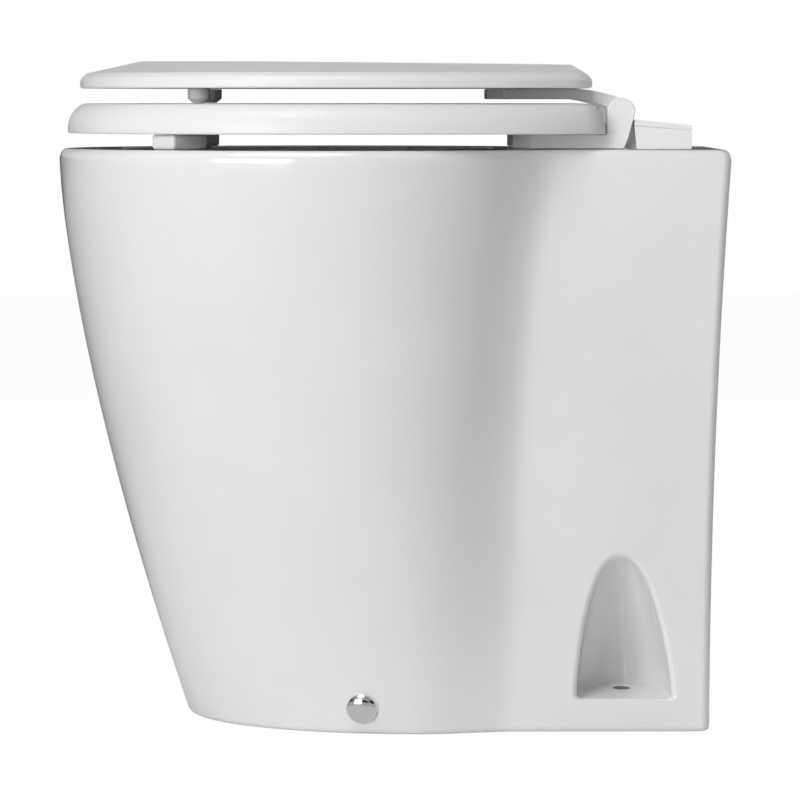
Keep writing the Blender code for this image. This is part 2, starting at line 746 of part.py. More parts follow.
def bowl_shell():
    """The outside of the bowl's wall and of the outlet spigot, kept when the pedestal is hollowed."""
    rings = [oval(BOWL_HALF_WIDTH + LIP_THICKNESS + CHANNEL_WIDTH + BOWL_WALL,
                  BOWL_HALF_LENGTH + LIP_THICKNESS + CHANNEL_WIDTH + BOWL_WALL, BOWL_CENTRE, RIM_HEIGHT)]
    rings += bowl_wall_rings(BOWL_WALL, BOWL_WALL, THROAT_RADIUS + SPIGOT_WALL)
    rings.append(oval(THROAT_RADIUS + SPIGOT_WALL, THROAT_RADIUS + SPIGOT_WALL, SUMP_Y, SPIGOT_END))
    return loft("bowl_shell", rings[::-1])


def recess_rings(side, grow, low, outer_x):
    """Half oval levels that narrow to the arch's top."""
    half_arc = [math.pi * i / 12 for i in range(13)]
    foot = LEDGE_HEIGHT + RECESS_FOOT
    levels = [(0, low), (0, LEDGE_HEIGHT)]
    levels += [(share, foot + (RECESS_TOP - foot) * share) for share in RECESS_RISE_SHARES]
    rings = []
    for share, height in levels:
        spread = (1 - share ** 1.3) ** 0.45
        half = RECESS_HALF_WIDTH * spread + grow
        depth = RECESS_DEPTH * (1 - share ** 1.6) ** 0.7 + grow
        centre = RECESS_Y - RECESS_LEAN * share
        edge = BOX_HALF_WIDTH
        points = [Vector((side * outer_x, centre + way * half, height)) for way in (-1, 1)]
        for turn in half_arc:
            x = edge - depth * math.sin(turn)
            points.append(Vector((side * x, centre + half * math.cos(turn), height + grow * share)))
        rings.append(points)
    return rings


def recess_cutter(name, side):
    return loft(name, recess_rings(side, 0, LEDGE_HEIGHT, BOX_HALF_WIDTH + OVERRUN)[1:])


def recess_shell(name, side):
    return loft(name, recess_rings(side, RECESS_WALL, -2 * OVERRUN, BOX_HALF_WIDTH + OVERRUN))


def hollow_cutter():
    """The pedestal's inside, less the bowl, the recess walls and the inlet boss."""
    rings = []
    levels = LEVEL_STEPS // 2
    for i in range(levels + 1):
        height = DECK_UNDERSIDE * i / levels
        half = pan_half_outline(height, WALL, HOLLOW_CORNER, FRONT_STEPS * 2 // 3, REAR_STEPS * 2 // 3)
        rings.append(mirrored_ring(half, height if i else -OVERRUN))
    hollow = loft("pedestal_hollow", rings)
    boss_length = INLET_BOSS_FACE - BOWL_CENTRE
    boss = rod("inlet_boss", INLET_BOSS_RADIUS, (0, BOWL_CENTRE, INLET_Z), ALONG_Y, boss_length)
    keep = [bowl_shell(), boss] + [recess_shell("recess_shell_" + name, side) for name, side in SIDES.items()]
    return combine(hollow, keep)


def service_cutter():
    """The rounded opening in the back wall that leaves room for hose and cable."""
    right = (SERVICE_HALF_WIDTH - SERVICE_CORNER, SERVICE_HEIGHT - SERVICE_CORNER)
    left = (-right[0], right[1])
    outline = [(-SERVICE_HALF_WIDTH, -OVERRUN), (SERVICE_HALF_WIDTH, -OVERRUN)]
    outline += arc(right, SERVICE_CORNER, 0, math.pi / 2, CORNER_STEPS)
    outline += arc(left, SERVICE_CORNER, math.pi / 2, math.pi, CORNER_STEPS)
    rings = [[Vector((x, y, z)) for x, z in outline] for y in (HALF_LENGTH - 3 * WALL, HALF_LENGTH + OVERRUN)]
    return loft("service_opening", rings)


def make_pan():
    pan = loft("pan", pan_rings(), CERAMIC)
    cuts = [hollow_cutter(), bowl_cutter(), service_cutter()]
    inlet_length = HALF_LENGTH - BOWL_CENTRE - 3 * WALL
    cuts.append(rod("inlet_hole", INLET_HOLE_RADIUS, (0, BOWL_CENTRE, INLET_Z), ALONG_Y, inlet_length))
    for name, side in SIDES.items():
        cuts.append(recess_cutter("recess_" + name, side))
        ledge = (side * LEDGE_HOLE_X, RECESS_Y, -OVERRUN)
        cuts.append(rod("ledge_hole_" + name, LEDGE_HOLE_RADIUS, ledge, UP, LEDGE_HEIGHT + 2 * OVERRUN))
        deck = (side * bolt_x(), BOLT_Y, DECK_UNDERSIDE - OVERRUN)
        cuts.append(rod("deck_hole_" + name, DECK_HOLE_RADIUS, deck, UP, DECK_THICKNESS + 2 * OVERRUN))
        surface, normal = skirt_point(side, SIDE_SCREW_Y, SIDE_SCREW_Z)
        cuts.append(rod("side_hole_" + name, SIDE_HOLE_RADIUS, surface + normal * OVERRUN, -normal,
                        WALL + 2 * OVERRUN, steps=ROUND_STEPS // 2))
    return combine(pan, cuts)


def bolt_x():
    """Distance of a hinge bolt from the middle: the lug's own place."""
    return SEAT_ARM_X - ARM_WIDTH / 2 - GAP - LUG_WIDTH / 2


# Seat ring and lid

def seat_half_outline(front, back, half_width, rear_curve, corner, inset, steps=FRONT_STEPS):
    """A half outline with a round front and a straight, round-cornered back edge."""
    forward = WIDEST_AT_RIM - front - inset
    rear = rear_curve - inset
    wide = half_width - inset
    back = back - inset
    radius = max(corner - inset, GAP)
    start = back - radius
    for _ in range(8):
        reach = (start - WIDEST_AT_RIM) / rear
        side = wide * math.sqrt(1 - reach * reach)
        normal = math.atan2(reach / rear, side / wide / wide)
        start = back - radius * (1 - math.sin(normal))
    centre = (side - radius * math.cos(normal), start - radius * math.sin(normal))
    points = []
    for i in range(steps + 1):
        turn = math.pi / 2 * i / steps
        points.append((wide * math.sin(turn), WIDEST_AT_RIM - forward * math.cos(turn)))
    side_steps = steps // 2
    for i in range(1, side_steps):
        y = WIDEST_AT_RIM + (start - WIDEST_AT_RIM) * i / side_steps
        points.append((wide * math.sqrt(1 - ((y - WIDEST_AT_RIM) / rear) ** 2), y))
    points += arc(centre, radius, normal, math.pi / 2, CORNER_STEPS)
    points.append((0, back))
    return points


def seat_hole_half_outline(grow, count):
    """The ring's opening, with as many points as the outline it is paired with."""
    middle = (SEAT_HOLE_FRONT + SEAT_HOLE_BACK) / 2
    reach = (SEAT_HOLE_BACK - SEAT_HOLE_FRONT) / 2 + grow
    wide = SEAT_HOLE_HALF_WIDTH + grow
    turns = [math.pi * i / (count - 1) for i in range(count)]
    return [(wide * math.sin(turn), middle - reach * math.cos(turn)) for turn in turns]


def outer_edge(rounding, thickness, foot_round, steps=4):
    """Insets and heights up a bullnose edge, from the underside to the top."""
    levels = [(foot_round, 0), (0, foot_round)]
    rise = thickness - foot_round
    for i in range(1, steps + 1):
        turn = math.pi / 2 * i / steps
        levels.append((rounding * (1 - math.cos(turn)), foot_round + rise * math.sin(turn)))
    return levels


def make_seat():
    size = (SEAT_FRONT, SEAT_BACK, SEAT_HALF_WIDTH, SEAT_REAR_CURVE, SEAT_CORNER)
    outer = [(seat_half_outline(*size, inset), SEAT_BOTTOM + rise)
             for inset, rise in outer_edge(SEAT_ROUNDING, SEAT_THICKNESS, SEAT_FOOT_ROUND)]
    count = len(outer[0][0])
    inner = [(seat_hole_half_outline(inset, count), SEAT_BOTTOM + rise)
             for inset, rise in outer_edge(SEAT_HOLE_ROUNDING, SEAT_THICKNESS, SEAT_FOOT_ROUND, 3)]
    bm = bmesh.new()
    rows = [[bm.verts.new(point) for point in mirrored_ring(half, z)] for half, z in outer + inner[::-1]]
    around = len(rows[0])
    for lower, upper in zip(rows, rows[1:] + rows[:1]):
        for i in range(around):
            j = (i + 1) % around
            bm.faces.new((lower[i], lower[j], upper[j], upper[i]))
    bmesh.ops.recalc_face_normals(bm, faces=bm.faces)
    mesh = bpy.data.meshes.new("seat")
    bm.to_mesh(mesh)
    bm.free()
    return smooth(add_object("seat", mesh, SEAT_PLASTIC))


def lid_top(y, share):
    """Height of the lid's upper face: it rises over the bevel and falls slightly to the back."""
    edge = LID_BOTTOM + LID_EDGE_HEIGHT
    length = LID_BACK - LID_FRONT
    full = LID_BOTTOM + LID_RISE - LID_TOP_FALL * (y - LID_FRONT) / length
    return edge + (full - edge) * share


def make_lid():
    size = (LID_FRONT, LID_BACK, LID_HALF_WIDTH, LID_REAR_CURVE, LID_CORNER)
    rings = []
    for inset, rise in ((LID_FOOT_ROUND, 0), (0, LID_FOOT_ROUND), (0, LID_EDGE_HEIGHT / 2),
                        (LID_EDGE_LEAN / 3, LID_EDGE_HEIGHT * 3 / 4), (LID_EDGE_LEAN, LID_EDGE_HEIGHT)):
        rings.append(mirrored_ring(seat_half_outline(*size, inset), LID_BOTTOM + rise))
    flat = (LID_FRONT, LID_BACK - LID_REAR_BEVEL + LID_BEVEL, LID_HALF_WIDTH, LID_REAR_CURVE + LID_BEVEL,
            LID_CORNER + LID_BEVEL)
    inner = mirrored_ring(seat_half_outline(*flat, LID_BEVEL + LID_EDGE_LEAN), 0)
    rings.append([Vector((p.x, p.y, lid_top(p.y, 1))) for p in inner])
    return loft("lid", rings, SEAT_PLASTIC)


def make_seat_buffer(name, side):
    size = Vector((SEAT_BUFFER_LENGTH, SEAT_BUFFER_WIDTH, SEAT_BOTTOM - RIM_HEIGHT - 2 * GAP)) / 2
    buffer = bevel(box(name, -size, size, BUFFER_PLASTIC), SEAT_BUFFER_EDGE)
    buffer.location = (side * SEAT_BUFFER_X, SEAT_BUFFER_Y, (SEAT_BOTTOM + RIM_HEIGHT) / 2)
    buffer.rotation_euler = (0, 0, side * SEAT_BUFFER_TURN)
    return buffer


def make_lid_buffer(name, side):
    top = LID_BOTTOM - GAP
    bottom = SEAT_TOP + GAP
    foot = LID_BUFFER_RADIUS - LID_BUFFER_CHAMFER
    profile = [(0, top), (LID_BUFFER_RADIUS, top), (LID_BUFFER_RADIUS, bottom + LID_BUFFER_FOOT),
               (foot, bottom), (0, bottom)]
    return turned(name, profile, BUFFER_PLASTIC, (side * LID_BUFFER_X, LID_BUFFER_Y, 0))


# Hinges

def seat_arm_outline():
    """Seen from the side: a leg under the seat and an upright with a round head on the pin."""
    bottom = RIM_HEIGHT + 2 * GAP
    leg_top = SEAT_BOTTOM - GAP
    front = HINGE_Y - SEAT_ARM_REACH
    face = HINGE_Y - HINGE_HEAD_RADIUS
    outline = [(front, bottom), (HINGE_Y + SEAT_ARM_UPRIGHT_FOOT, bottom),
               (HINGE_Y + SEAT_ARM_TAPER_Y, HINGE_Z - SEAT_ARM_TAPER_Z)]
    outline += arc((HINGE_Y, HINGE_Z), HINGE_HEAD_RADIUS, 0, math.pi, 12)
    outline += [(face, leg_top), (front, leg_top)]
    return outline


def lid_arm_outline():
    """Seen from the side: a leg under the lid, curved down over the seat's end to its head."""
    top = LID_BOTTOM - GAP
    bottom = top - LID_ARM_LEG
    front = HINGE_Y - LID_ARM_REACH
    bend = HINGE_Y - LID_ARM_STRAIGHT
    head_top = HINGE_Z + HINGE_HEAD_RADIUS
    steps = 4
    upper = []
    lower = []
    for i in range(steps + 1):
        share = i / steps
        upper.append((bend + (HINGE_Y - bend) * share, top + (head_top - top) * share ** 2))
        run = LID_ARM_STRAIGHT - HINGE_HEAD_RADIUS + GAP
        lower.append((bend + run * share, bottom - LID_ARM_DROP * share ** 2))
    head = arc((HINGE_Y, HINGE_Z), HINGE_HEAD_RADIUS, math.radians(75), math.radians(-170), 14)
    return [(front, top)] + upper[:-1] + head + lower[::-1] + [(front, bottom)]


def block_outline():
    top_front = RIM_HEIGHT + BLOCK_HEIGHT - CAP_THICKNESS - GAP
    bottom = RIM_HEIGHT + GAP
    return [(BLOCK_FRONT + BLOCK_LEAN, bottom), (BLOCK_BACK, bottom), (BLOCK_BACK, top_front - BLOCK_FALL),
            (BLOCK_FRONT, top_front)]


def cap_outline():
    low_front = RIM_HEIGHT + BLOCK_HEIGHT - CAP_THICKNESS
    high_front = RIM_HEIGHT + BLOCK_HEIGHT
    return [(BLOCK_FRONT, low_front), (BLOCK_BACK, low_front - BLOCK_FALL),
            (BLOCK_BACK, high_front - BLOCK_FALL), (BLOCK_FRONT, high_front)]


def lug_outline():
    """The block's front ear, which holds the pin between the two arms."""
    bottom = RIM_HEIGHT + GAP
    inside = BLOCK_FRONT + 2 * BLOCK_LEAN
    top = RIM_HEIGHT + BLOCK_HEIGHT - CAP_THICKNESS - GAP
    head = arc((HINGE_Y, HINGE_Z), LUG_HEAD_RADIUS, 0, math.radians(205), 10)
    return [(HINGE_Y + LUG_FOOT, bottom), (inside, bottom), (inside, top - BLOCK_LEAN), (BLOCK_FRONT, top),
            (HINGE_Y + LUG_HEAD_RADIUS, top)] + head


def leg_chamfer_cutter(name, side, outer_x, front_y, chamfer, width):
    """Slants a leg's front end in plan, so that its outer corner lies further back."""
    inner_x = outer_x - width
    outline = [(inner_x, front_y), (outer_x + OVERRUN, front_y + chamfer * (width + OVERRUN) / width),
               (outer_x + OVERRUN, front_y - OVERRUN), (inner_x - OVERRUN, front_y - OVERRUN)]
    heights = (RIM_HEIGHT - OVERRUN, LID_BOTTOM + OVERRUN)
    rings = [[Vector((side * x, y, z)) for x, y in outline] for z in heights]
    return loft(name, rings)


def make_hinge(name, side):
    seat_arm_inner = SEAT_ARM_X - ARM_WIDTH / 2
    lug_x = bolt_x()
    lid_arm_x = lug_x - LUG_WIDTH / 2 - GAP - ARM_WIDTH / 2
    pin_start = lid_arm_x + ARM_WIDTH / 2 - PIN_DEPTH
    pin_length = PIN_DEPTH * 2 + LUG_WIDTH + 2 * GAP
    across = Vector((side, 0, 0))
    axis_place = (side * pin_start, HINGE_Y, HINGE_Z)
    bore = round_space("pin_bore_" + name, PIN_RADIUS + PIN_CLEARANCE, -GAP, pin_length + GAP, axis_place,
                       across, PIN_STEPS)

    seat_arm = side_plate("seat_arm_" + name, seat_arm_outline(), side * SEAT_ARM_X, ARM_WIDTH, HINGE_PLASTIC)
    seat_chamfer = leg_chamfer_cutter("seat_arm_end_" + name, side, SEAT_ARM_X + ARM_WIDTH / 2,
                                      HINGE_Y - SEAT_ARM_REACH, SEAT_ARM_CHAMFER, ARM_WIDTH)
    combine(seat_arm, [bore, seat_chamfer])
    lid_arm = side_plate("lid_arm_" + name, lid_arm_outline(), side * lid_arm_x, ARM_WIDTH, HINGE_PLASTIC)
    lid_chamfer = leg_chamfer_cutter("lid_arm_end_" + name, side, lid_arm_x + ARM_WIDTH / 2,
                                     HINGE_Y - LID_ARM_REACH, LID_ARM_CHAMFER, ARM_WIDTH)
    combine(lid_arm, [bore, lid_chamfer])

    block = side_plate("hinge_block_" + name, block_outline(), side * lug_x, BLOCK_WIDTH, HINGE_PLASTIC)
    lug = side_plate("lug_" + name, lug_outline(), side * lug_x, LUG_WIDTH)
    combine(block, [lug], "UNION")
    seat_z = RIM_HEIGHT + BOLT_SEAT_HEIGHT
    well = rod("bolt_well_" + name, BOLT_WELL_RADIUS, (side * lug_x, BOLT_Y, seat_z), UP, BLOCK_HEIGHT)
    below = (side * lug_x, BOLT_Y, RIM_HEIGHT - OVERRUN)
    hole = rod("bolt_hole_" + name, BOLT_RADIUS + GAP, below, UP, BLOCK_HEIGHT)
    combine(block, [bore, well, hole])
    cap = side_plate("hinge_cap_" + name, cap_outline(), side * lug_x, BLOCK_WIDTH, HINGE_PLASTIC)
    bevel(cap, CAP_EDGE, 1)

    pin = turned("hinge_pin_" + name, [(0, pin_length), (PIN_RADIUS, pin_length), (PIN_RADIUS, 0), (0, 0)],
                 STAINLESS, axis_place, across, PIN_STEPS)
    make_hinge_fixing(name, side * lug_x, seat_z)
    return seat_arm, lid_arm, block, cap, pin


def make_hinge_fixing(name, x, seat_z):
    """Bolt through block and deck, rubber washer and wing nut below."""
    shank_top = seat_z + GAP
    head_top = shank_top + BOLT_HEAD_HEIGHT
    profile = [(0, head_top), (BOLT_HEAD_RADIUS, head_top), (BOLT_HEAD_RADIUS, shank_top),
               (BOLT_RADIUS, shank_top), (BOLT_RADIUS, BOLT_END), (0, BOLT_END)]
    turned("hinge_bolt_" + name, profile, STAINLESS, (x, BOLT_Y, 0), steps=ROUND_STEPS)
    washer_top = DECK_UNDERSIDE - GAP
    washer_low = washer_top - RUBBER_WASHER_THICKNESS
    ring("hinge_washer_" + name, RUBBER_WASHER_RADIUS, BOLT_RADIUS + GAP, washer_low, washer_top, RUBBER,
         (x, BOLT_Y, 0))
    nut_top = washer_low - GAP
    nut_low = nut_top - WING_NUT_HEIGHT
    nut = ring("wing_nut_" + name, WING_NUT_RADIUS, BOLT_RADIUS + GAP, nut_low, nut_top, BUFFER_PLASTIC,
               (x, BOLT_Y, 0))
    wings = box("wings_" + name, (x - WING_SPAN / 2, BOLT_Y - WING_THICKNESS / 2, nut_top - WING_HEIGHT),
                (x + WING_SPAN / 2, BOLT_Y + WING_THICKNESS / 2, nut_top - WING_THICKNESS))
    core = rod("nut_core_" + name, WING_NUT_RADIUS - WING_THICKNESS / 2, (x, BOLT_Y, nut_low - OVERRUN), UP,
               WING_NUT_HEIGHT + 2 * OVERRUN)
    combine(wings, [core])
    return combine(nut, [wings], "UNION")


# Floor fixing

def make_side_fixing(name, side):
    """A bracket on the floor inside the skirt, the screw through the skirt and its cover cap."""
    surface, normal = skirt_point(side, SIDE_SCREW_Y, SIDE_SCREW_Z)
    seat = surface + normal * GAP
    head = SIDE_SCREW_HEAD_HEIGHT
    profile = [(0, head), (SIDE_SCREW_HEAD_RADIUS, head), (SIDE_SCREW_HEAD_RADIUS, 0), (SIDE_SCREW_RADIUS, 0),
               (SIDE_SCREW_RADIUS, -SIDE_SCREW_LENGTH), (0, -SIDE_SCREW_LENGTH)]
    turned("side_screw_" + name, profile, STAINLESS, seat, normal)

    inner_radius = COVER_CAP_RADIUS - COVER_CAP_WALL
    inner_height = COVER_CAP_HEIGHT - COVER_CAP_WALL
    dome = [(COVER_CAP_RADIUS * math.cos(a), COVER_CAP_HEIGHT * math.sin(a))
            for a in [math.pi / 2 * i / 6 for i in range(7)]]
    dome[-1] = (0, COVER_CAP_HEIGHT)
    cap_profile = dome[::-1] + [(inner_radius, 0), (inner_radius, inner_height), (0, inner_height)]
    turned("cover_cap_" + name, cap_profile, CHROME, seat, normal)

    flat = Vector((normal.x, normal.y, 0)).normalized()
    out = WALL + BRACKET_STANDOFF
    upright = box("floor_bracket_" + name, (-BRACKET_HEIGHT, -BRACKET_WIDTH / 2, -BRACKET_THICKNESS),
                  (BRACKET_HEIGHT, BRACKET_WIDTH / 2, 0), BRACKET_NYLON)
    aim(upright, normal)
    upright.location = surface - normal * (out + BRACKET_THICKNESS / 2)
    turn = math.atan2(flat.y, flat.x)
    foot = box("bracket_foot_" + name, (-BRACKET_FOOT, -BRACKET_WIDTH / 2, 0), (0, BRACKET_WIDTH / 2,
                                                                              BRACKET_THICKNESS))
    start = surface - flat * (out + BRACKET_THICKNESS)
    foot.rotation_euler = (0, 0, turn)
    middle = start - flat * BRACKET_FOOT / 2
    foot.location = (middle.x, middle.y, BRACKET_THICKNESS / 2)
    below = box("under_floor_" + name, surface - Vector((1, 1, 1)) * BRACKET_HEIGHT * 2,
                surface + Vector((1, 1, 0)) * BRACKET_HEIGHT * 2 - UP * surface.z)
    thread = rod("screw_bore_" + name, SIDE_SCREW_RADIUS + GAP, seat, -normal, SIDE_SCREW_LENGTH + OVERRUN)
    combine(upright, [foot], "UNION")
    return combine(upright, [below, thread])


# Macerator pump

def make_outlet():
    """Rubber ring on the bowl's spigot and the elbow that leads to the pump."""
    inner = THROAT_RADIUS + SPIGOT_WALL + GAP
    low = SPIGOT_END + GAP
    outer = inner + SEAL_RING_THICKNESS
    ring("outlet_seal", outer, inner, low, low + SEAL_RING_HEIGHT, RUBBER, (0, SUMP_Y, 0), UP, FINE_STEPS)
    bend_top = PUMP_Z + ELBOW_BEND
    shoulder = SPIGOT_END - ELBOW_WALL
    points = [(0, SUMP_Y, ELBOW_SOCKET_TOP), (0, SUMP_Y, shoulder), (0, SUMP_Y, shoulder - ELBOW_STEP)]
    radii = [ELBOW_SOCKET_RADIUS, ELBOW_SOCKET_RADIUS, ELBOW_RADIUS]
    for y, z in arc((SUMP_Y + ELBOW_BEND, bend_top), ELBOW_BEND, math.pi, math.pi * 3 / 2, 6):
        points.append((0, y, z))
        radii.append(ELBOW_RADIUS)
    points.append((0, COVER_FRONT - GAP, PUMP_Z))
    radii.append(ELBOW_RADIUS)
    return tube("inlet_elbow", points, radii, PIPE_PLASTIC, ELBOW_WALL)


def make_pump():
    cover_back = COVER_FRONT + COVER_THICKNESS
    tail = ELBOW_RADIUS - ELBOW_WALL - 2 * GAP
    profile = [(PUMP_RADIUS, cover_back), (PUMP_RADIUS, COVER_FRONT), (tail, COVER_FRONT),
               (tail, COVER_FRONT - COVER_TAIL_LENGTH), (COVER_TAIL_BORE, COVER_FRONT - COVER_TAIL_LENGTH),
               (COVER_TAIL_BORE, cover_back)]
    turned("pump_cover", profile, PUMP_PLASTIC, PUMP_AXIS, ALONG_Y, FINE_STEPS)

    start = (0, HOUSING_FRONT, PUMP_Z)
    housing = rod("pump_housing", PUMP_RADIUS, start, ALONG_Y, HOUSING_LENGTH, PUMP_PLASTIC, FINE_STEPS)
    port = rod("discharge_port", PORT_RADIUS, (0, PORT_Y, PUMP_Z), UP, PORT_TOP - PUMP_Z)
    combine(housing, [port], "UNION")
    chamber = rod("pump_chamber", PUMP_RADIUS - PUMP_WALL, (0, HOUSING_FRONT - OVERRUN, PUMP_Z), ALONG_Y,
                  HOUSING_LENGTH - PUMP_WALL + OVERRUN, steps=FINE_STEPS)
    port_bore = rod("port_bore", PORT_BORE, (0, PORT_Y, PUMP_Z), UP, PORT_TOP - PUMP_Z + OVERRUN)
    seal_start = (0, HOUSING_BACK - 2 * PUMP_WALL, PUMP_Z)
    seal_bore = rod("seal_bore", SEAL_RADIUS + GAP, seal_start, ALONG_Y, 3 * PUMP_WALL)
    combine(housing, [chamber, port_bore, seal_bore])
    ring("shaft_seal", SEAL_RADIUS, SHAFT_RADIUS + SHAFT_SLIP, HOUSING_BACK - PUMP_WALL, HOUSING_BACK, RUBBER,
         PUMP_AXIS, ALONG_Y)
    make_chopper_plate()
    return make_rotor()


def make_chopper_plate():
    low = HOUSING_FRONT + PLATE_AT
    radius = PUMP_RADIUS - PUMP_WALL - GAP
    plate = rod("chopper_plate", radius, (0, low, PUMP_Z), ALONG_Y, PLATE_THICKNESS, STAINLESS, FINE_STEPS)
    holes = [rod("plate_centre", SHAFT_RADIUS * 3 / 2, (0, low - OVERRUN, PUMP_Z), ALONG_Y, 2 * OVERRUN)]
    for i in range(6):
        turn = math.pi / 3 * i
        out = Vector((math.cos(turn), 0, math.sin(turn))) * PLATE_HOLE_CIRCLE
        start = out + PUMP_AXIS + ALONG_Y * (low - OVERRUN)
        name = "plate_hole_%d" % i
        holes.append(rod(name, PLATE_HOLE_RADIUS, start, ALONG_Y, 2 * OVERRUN, None, ROUND_STEPS // 2))
    return combine(plate, holes)


def shaft_bore(name, start, length):
    """Clearance for the shaft through what it carries."""
    return rod(name, SHAFT_RADIUS + SHAFT_SLIP, (0, start, PUMP_Z), ALONG_Y, length)


def make_rotor():
    """Shaft with chopper blade, impeller and armature."""
    shaft_end = MOTOR_BACK + END_CAP_THICKNESS / 5
    shaft_length = shaft_end - SHAFT_FRONT
    shaft = rod("motor_shaft", SHAFT_RADIUS, (0, SHAFT_FRONT, PUMP_Z), ALONG_Y, shaft_length, STAINLESS)
    blade_low = HOUSING_FRONT + BLADE_AT
    blade = box("chopper_blade", (-BLADE_WIDTH / 2, blade_low, PUMP_Z - BLADE_LENGTH / 2),
                (BLADE_WIDTH / 2, blade_low + BLADE_THICKNESS, PUMP_Z + BLADE_LENGTH / 2), STAINLESS)
    combine(blade, [shaft_bore("blade_bore", blade_low - OVERRUN, 3 * OVERRUN)])

    low = HOUSING_FRONT + IMPELLER_AT
    high = low + IMPELLER_LENGTH
    impeller = rod("impeller", IMPELLER_HUB, (0, low, PUMP_Z), ALONG_Y, IMPELLER_LENGTH, PUMP_PLASTIC)
    disc = rod("impeller_disc", IMPELLER_RADIUS, (0, high - IMPELLER_DISC, PUMP_Z), ALONG_Y, IMPELLER_DISC,
               steps=FINE_STEPS)
    vane_high = high - IMPELLER_DISC / 2
    reach = IMPELLER_RADIUS - VANE_THICKNESS
    upright_vane = box("upright_vane", (-VANE_THICKNESS / 2, low + VANE_THICKNESS, PUMP_Z - reach),
                       (VANE_THICKNESS / 2, vane_high, PUMP_Z + reach))
    level_vane = box("level_vane", (-reach, low + VANE_THICKNESS, PUMP_Z - VANE_THICKNESS / 2),
                     (reach, vane_high, PUMP_Z + VANE_THICKNESS / 2))
    combine(impeller, [disc, upright_vane, level_vane], "UNION")
    combine(impeller, [shaft_bore("impeller_bore", low - OVERRUN, IMPELLER_LENGTH + 2 * OVERRUN)])

    core_back = MOTOR_FRONT + ARMATURE_AT + ARMATURE_LENGTH
    gap_back = core_back + COMMUTATOR_LENGTH / 2
    bore = SHAFT_RADIUS + SHAFT_SLIP
    sleeve = (COMMUTATOR_RADIUS + bore) / 2
    end = gap_back + COMMUTATOR_LENGTH
    core_front = core_back - ARMATURE_LENGTH
    profile = [(COMMUTATOR_RADIUS, end), (COMMUTATOR_RADIUS, gap_back), (sleeve, gap_back),
               (sleeve, core_back), (ARMATURE_RADIUS, core_back), (ARMATURE_RADIUS, core_front),
               (bore, core_front), (bore, end)]
    armature = turned("armature", profile, COPPER, PUMP_AXIS, ALONG_Y)
    return shaft, blade, impeller, armature


def make_motor():
    """Flanged can with its bearings and magnet ring, and the end cap with the cable gland."""
    flange_low = HOUSING_BACK + GAP
    flange_high = flange_low + FLANGE_THICKNESS
    inner = MOTOR_RADIUS - CAN_WALL
    pocket = BEARING_RADIUS + GAP
    room = SHAFT_RADIUS * 3 / 2
    floor = flange_low + CAN_FRONT_WALL
    stop = floor - BEARING_WIDTH - GAP
    profile = [(MOTOR_RADIUS, MOTOR_BACK), (MOTOR_RADIUS, flange_high), (PUMP_RADIUS, flange_high),
               (PUMP_RADIUS, flange_low), (room, flange_low), (room, stop), (pocket, stop), (pocket, floor),
               (inner, floor), (inner, MOTOR_BACK)]
    turned("motor_can", profile, MOTOR_PAINT, PUMP_AXIS, ALONG_Y, FINE_STEPS)
    make_bearing("front_bearing", stop + GAP)
    magnet_low = MOTOR_FRONT + ARMATURE_AT
    ring("magnet_ring", inner - GAP, inner - MAGNET_THICKNESS, magnet_low, magnet_low + ARMATURE_LENGTH, IRON,
         PUMP_AXIS, ALONG_Y, FINE_STEPS)

    low = MOTOR_BACK + GAP
    high = low + END_CAP_THICKNESS
    spigot_front = low - END_CAP_SPIGOT
    rest = spigot_front + BEARING_WIDTH + GAP
    spigot = inner - GAP
    profile = [(0, high), (MOTOR_RADIUS, high), (MOTOR_RADIUS, low), (spigot, low), (spigot, spigot_front),
               (pocket, spigot_front), (pocket, rest), (room, rest), (room, high - room), (0, high - room)]
    cap = turned("motor_end_cap", profile, PUMP_PLASTIC, PUMP_AXIS, ALONG_Y, FINE_STEPS)
    start = (0, spigot_front - OVERRUN, PUMP_Z + GLAND_RISE)
    length = END_CAP_THICKNESS + END_CAP_SPIGOT + 2 * OVERRUN
    gland_hole = rod("gland_hole", GLAND_NECK_RADIUS + GAP, start, ALONG_Y, length)
    combine(cap, [gland_hole])
    make_bearing("rear_bearing", rest - GAP - BEARING_WIDTH)
    return make_gland(low, high)


def make_bearing(name, low):
    high = low + BEARING_WIDTH
    ring(name, BEARING_RADIUS, SHAFT_RADIUS + SHAFT_SLIP, low, high, STAINLESS, PUMP_AXIS, ALONG_Y)


def make_gland(low, high):
    top = high + GAP + GLAND_LENGTH
    rest = high + GAP
    profile = [(GLAND_NECK_RADIUS, top), (GLAND_RADIUS, top - GLAND_RADIUS / 3), (GLAND_RADIUS, rest),
               (GLAND_NECK_RADIUS, rest), (GLAND_NECK_RADIUS, low), (GLAND_BORE, low), (GLAND_BORE, top)]
    return turned("cable_gland", profile, PUMP_PLASTIC, PUMP_AXIS + UP * GLAND_RISE, ALONG_Y)


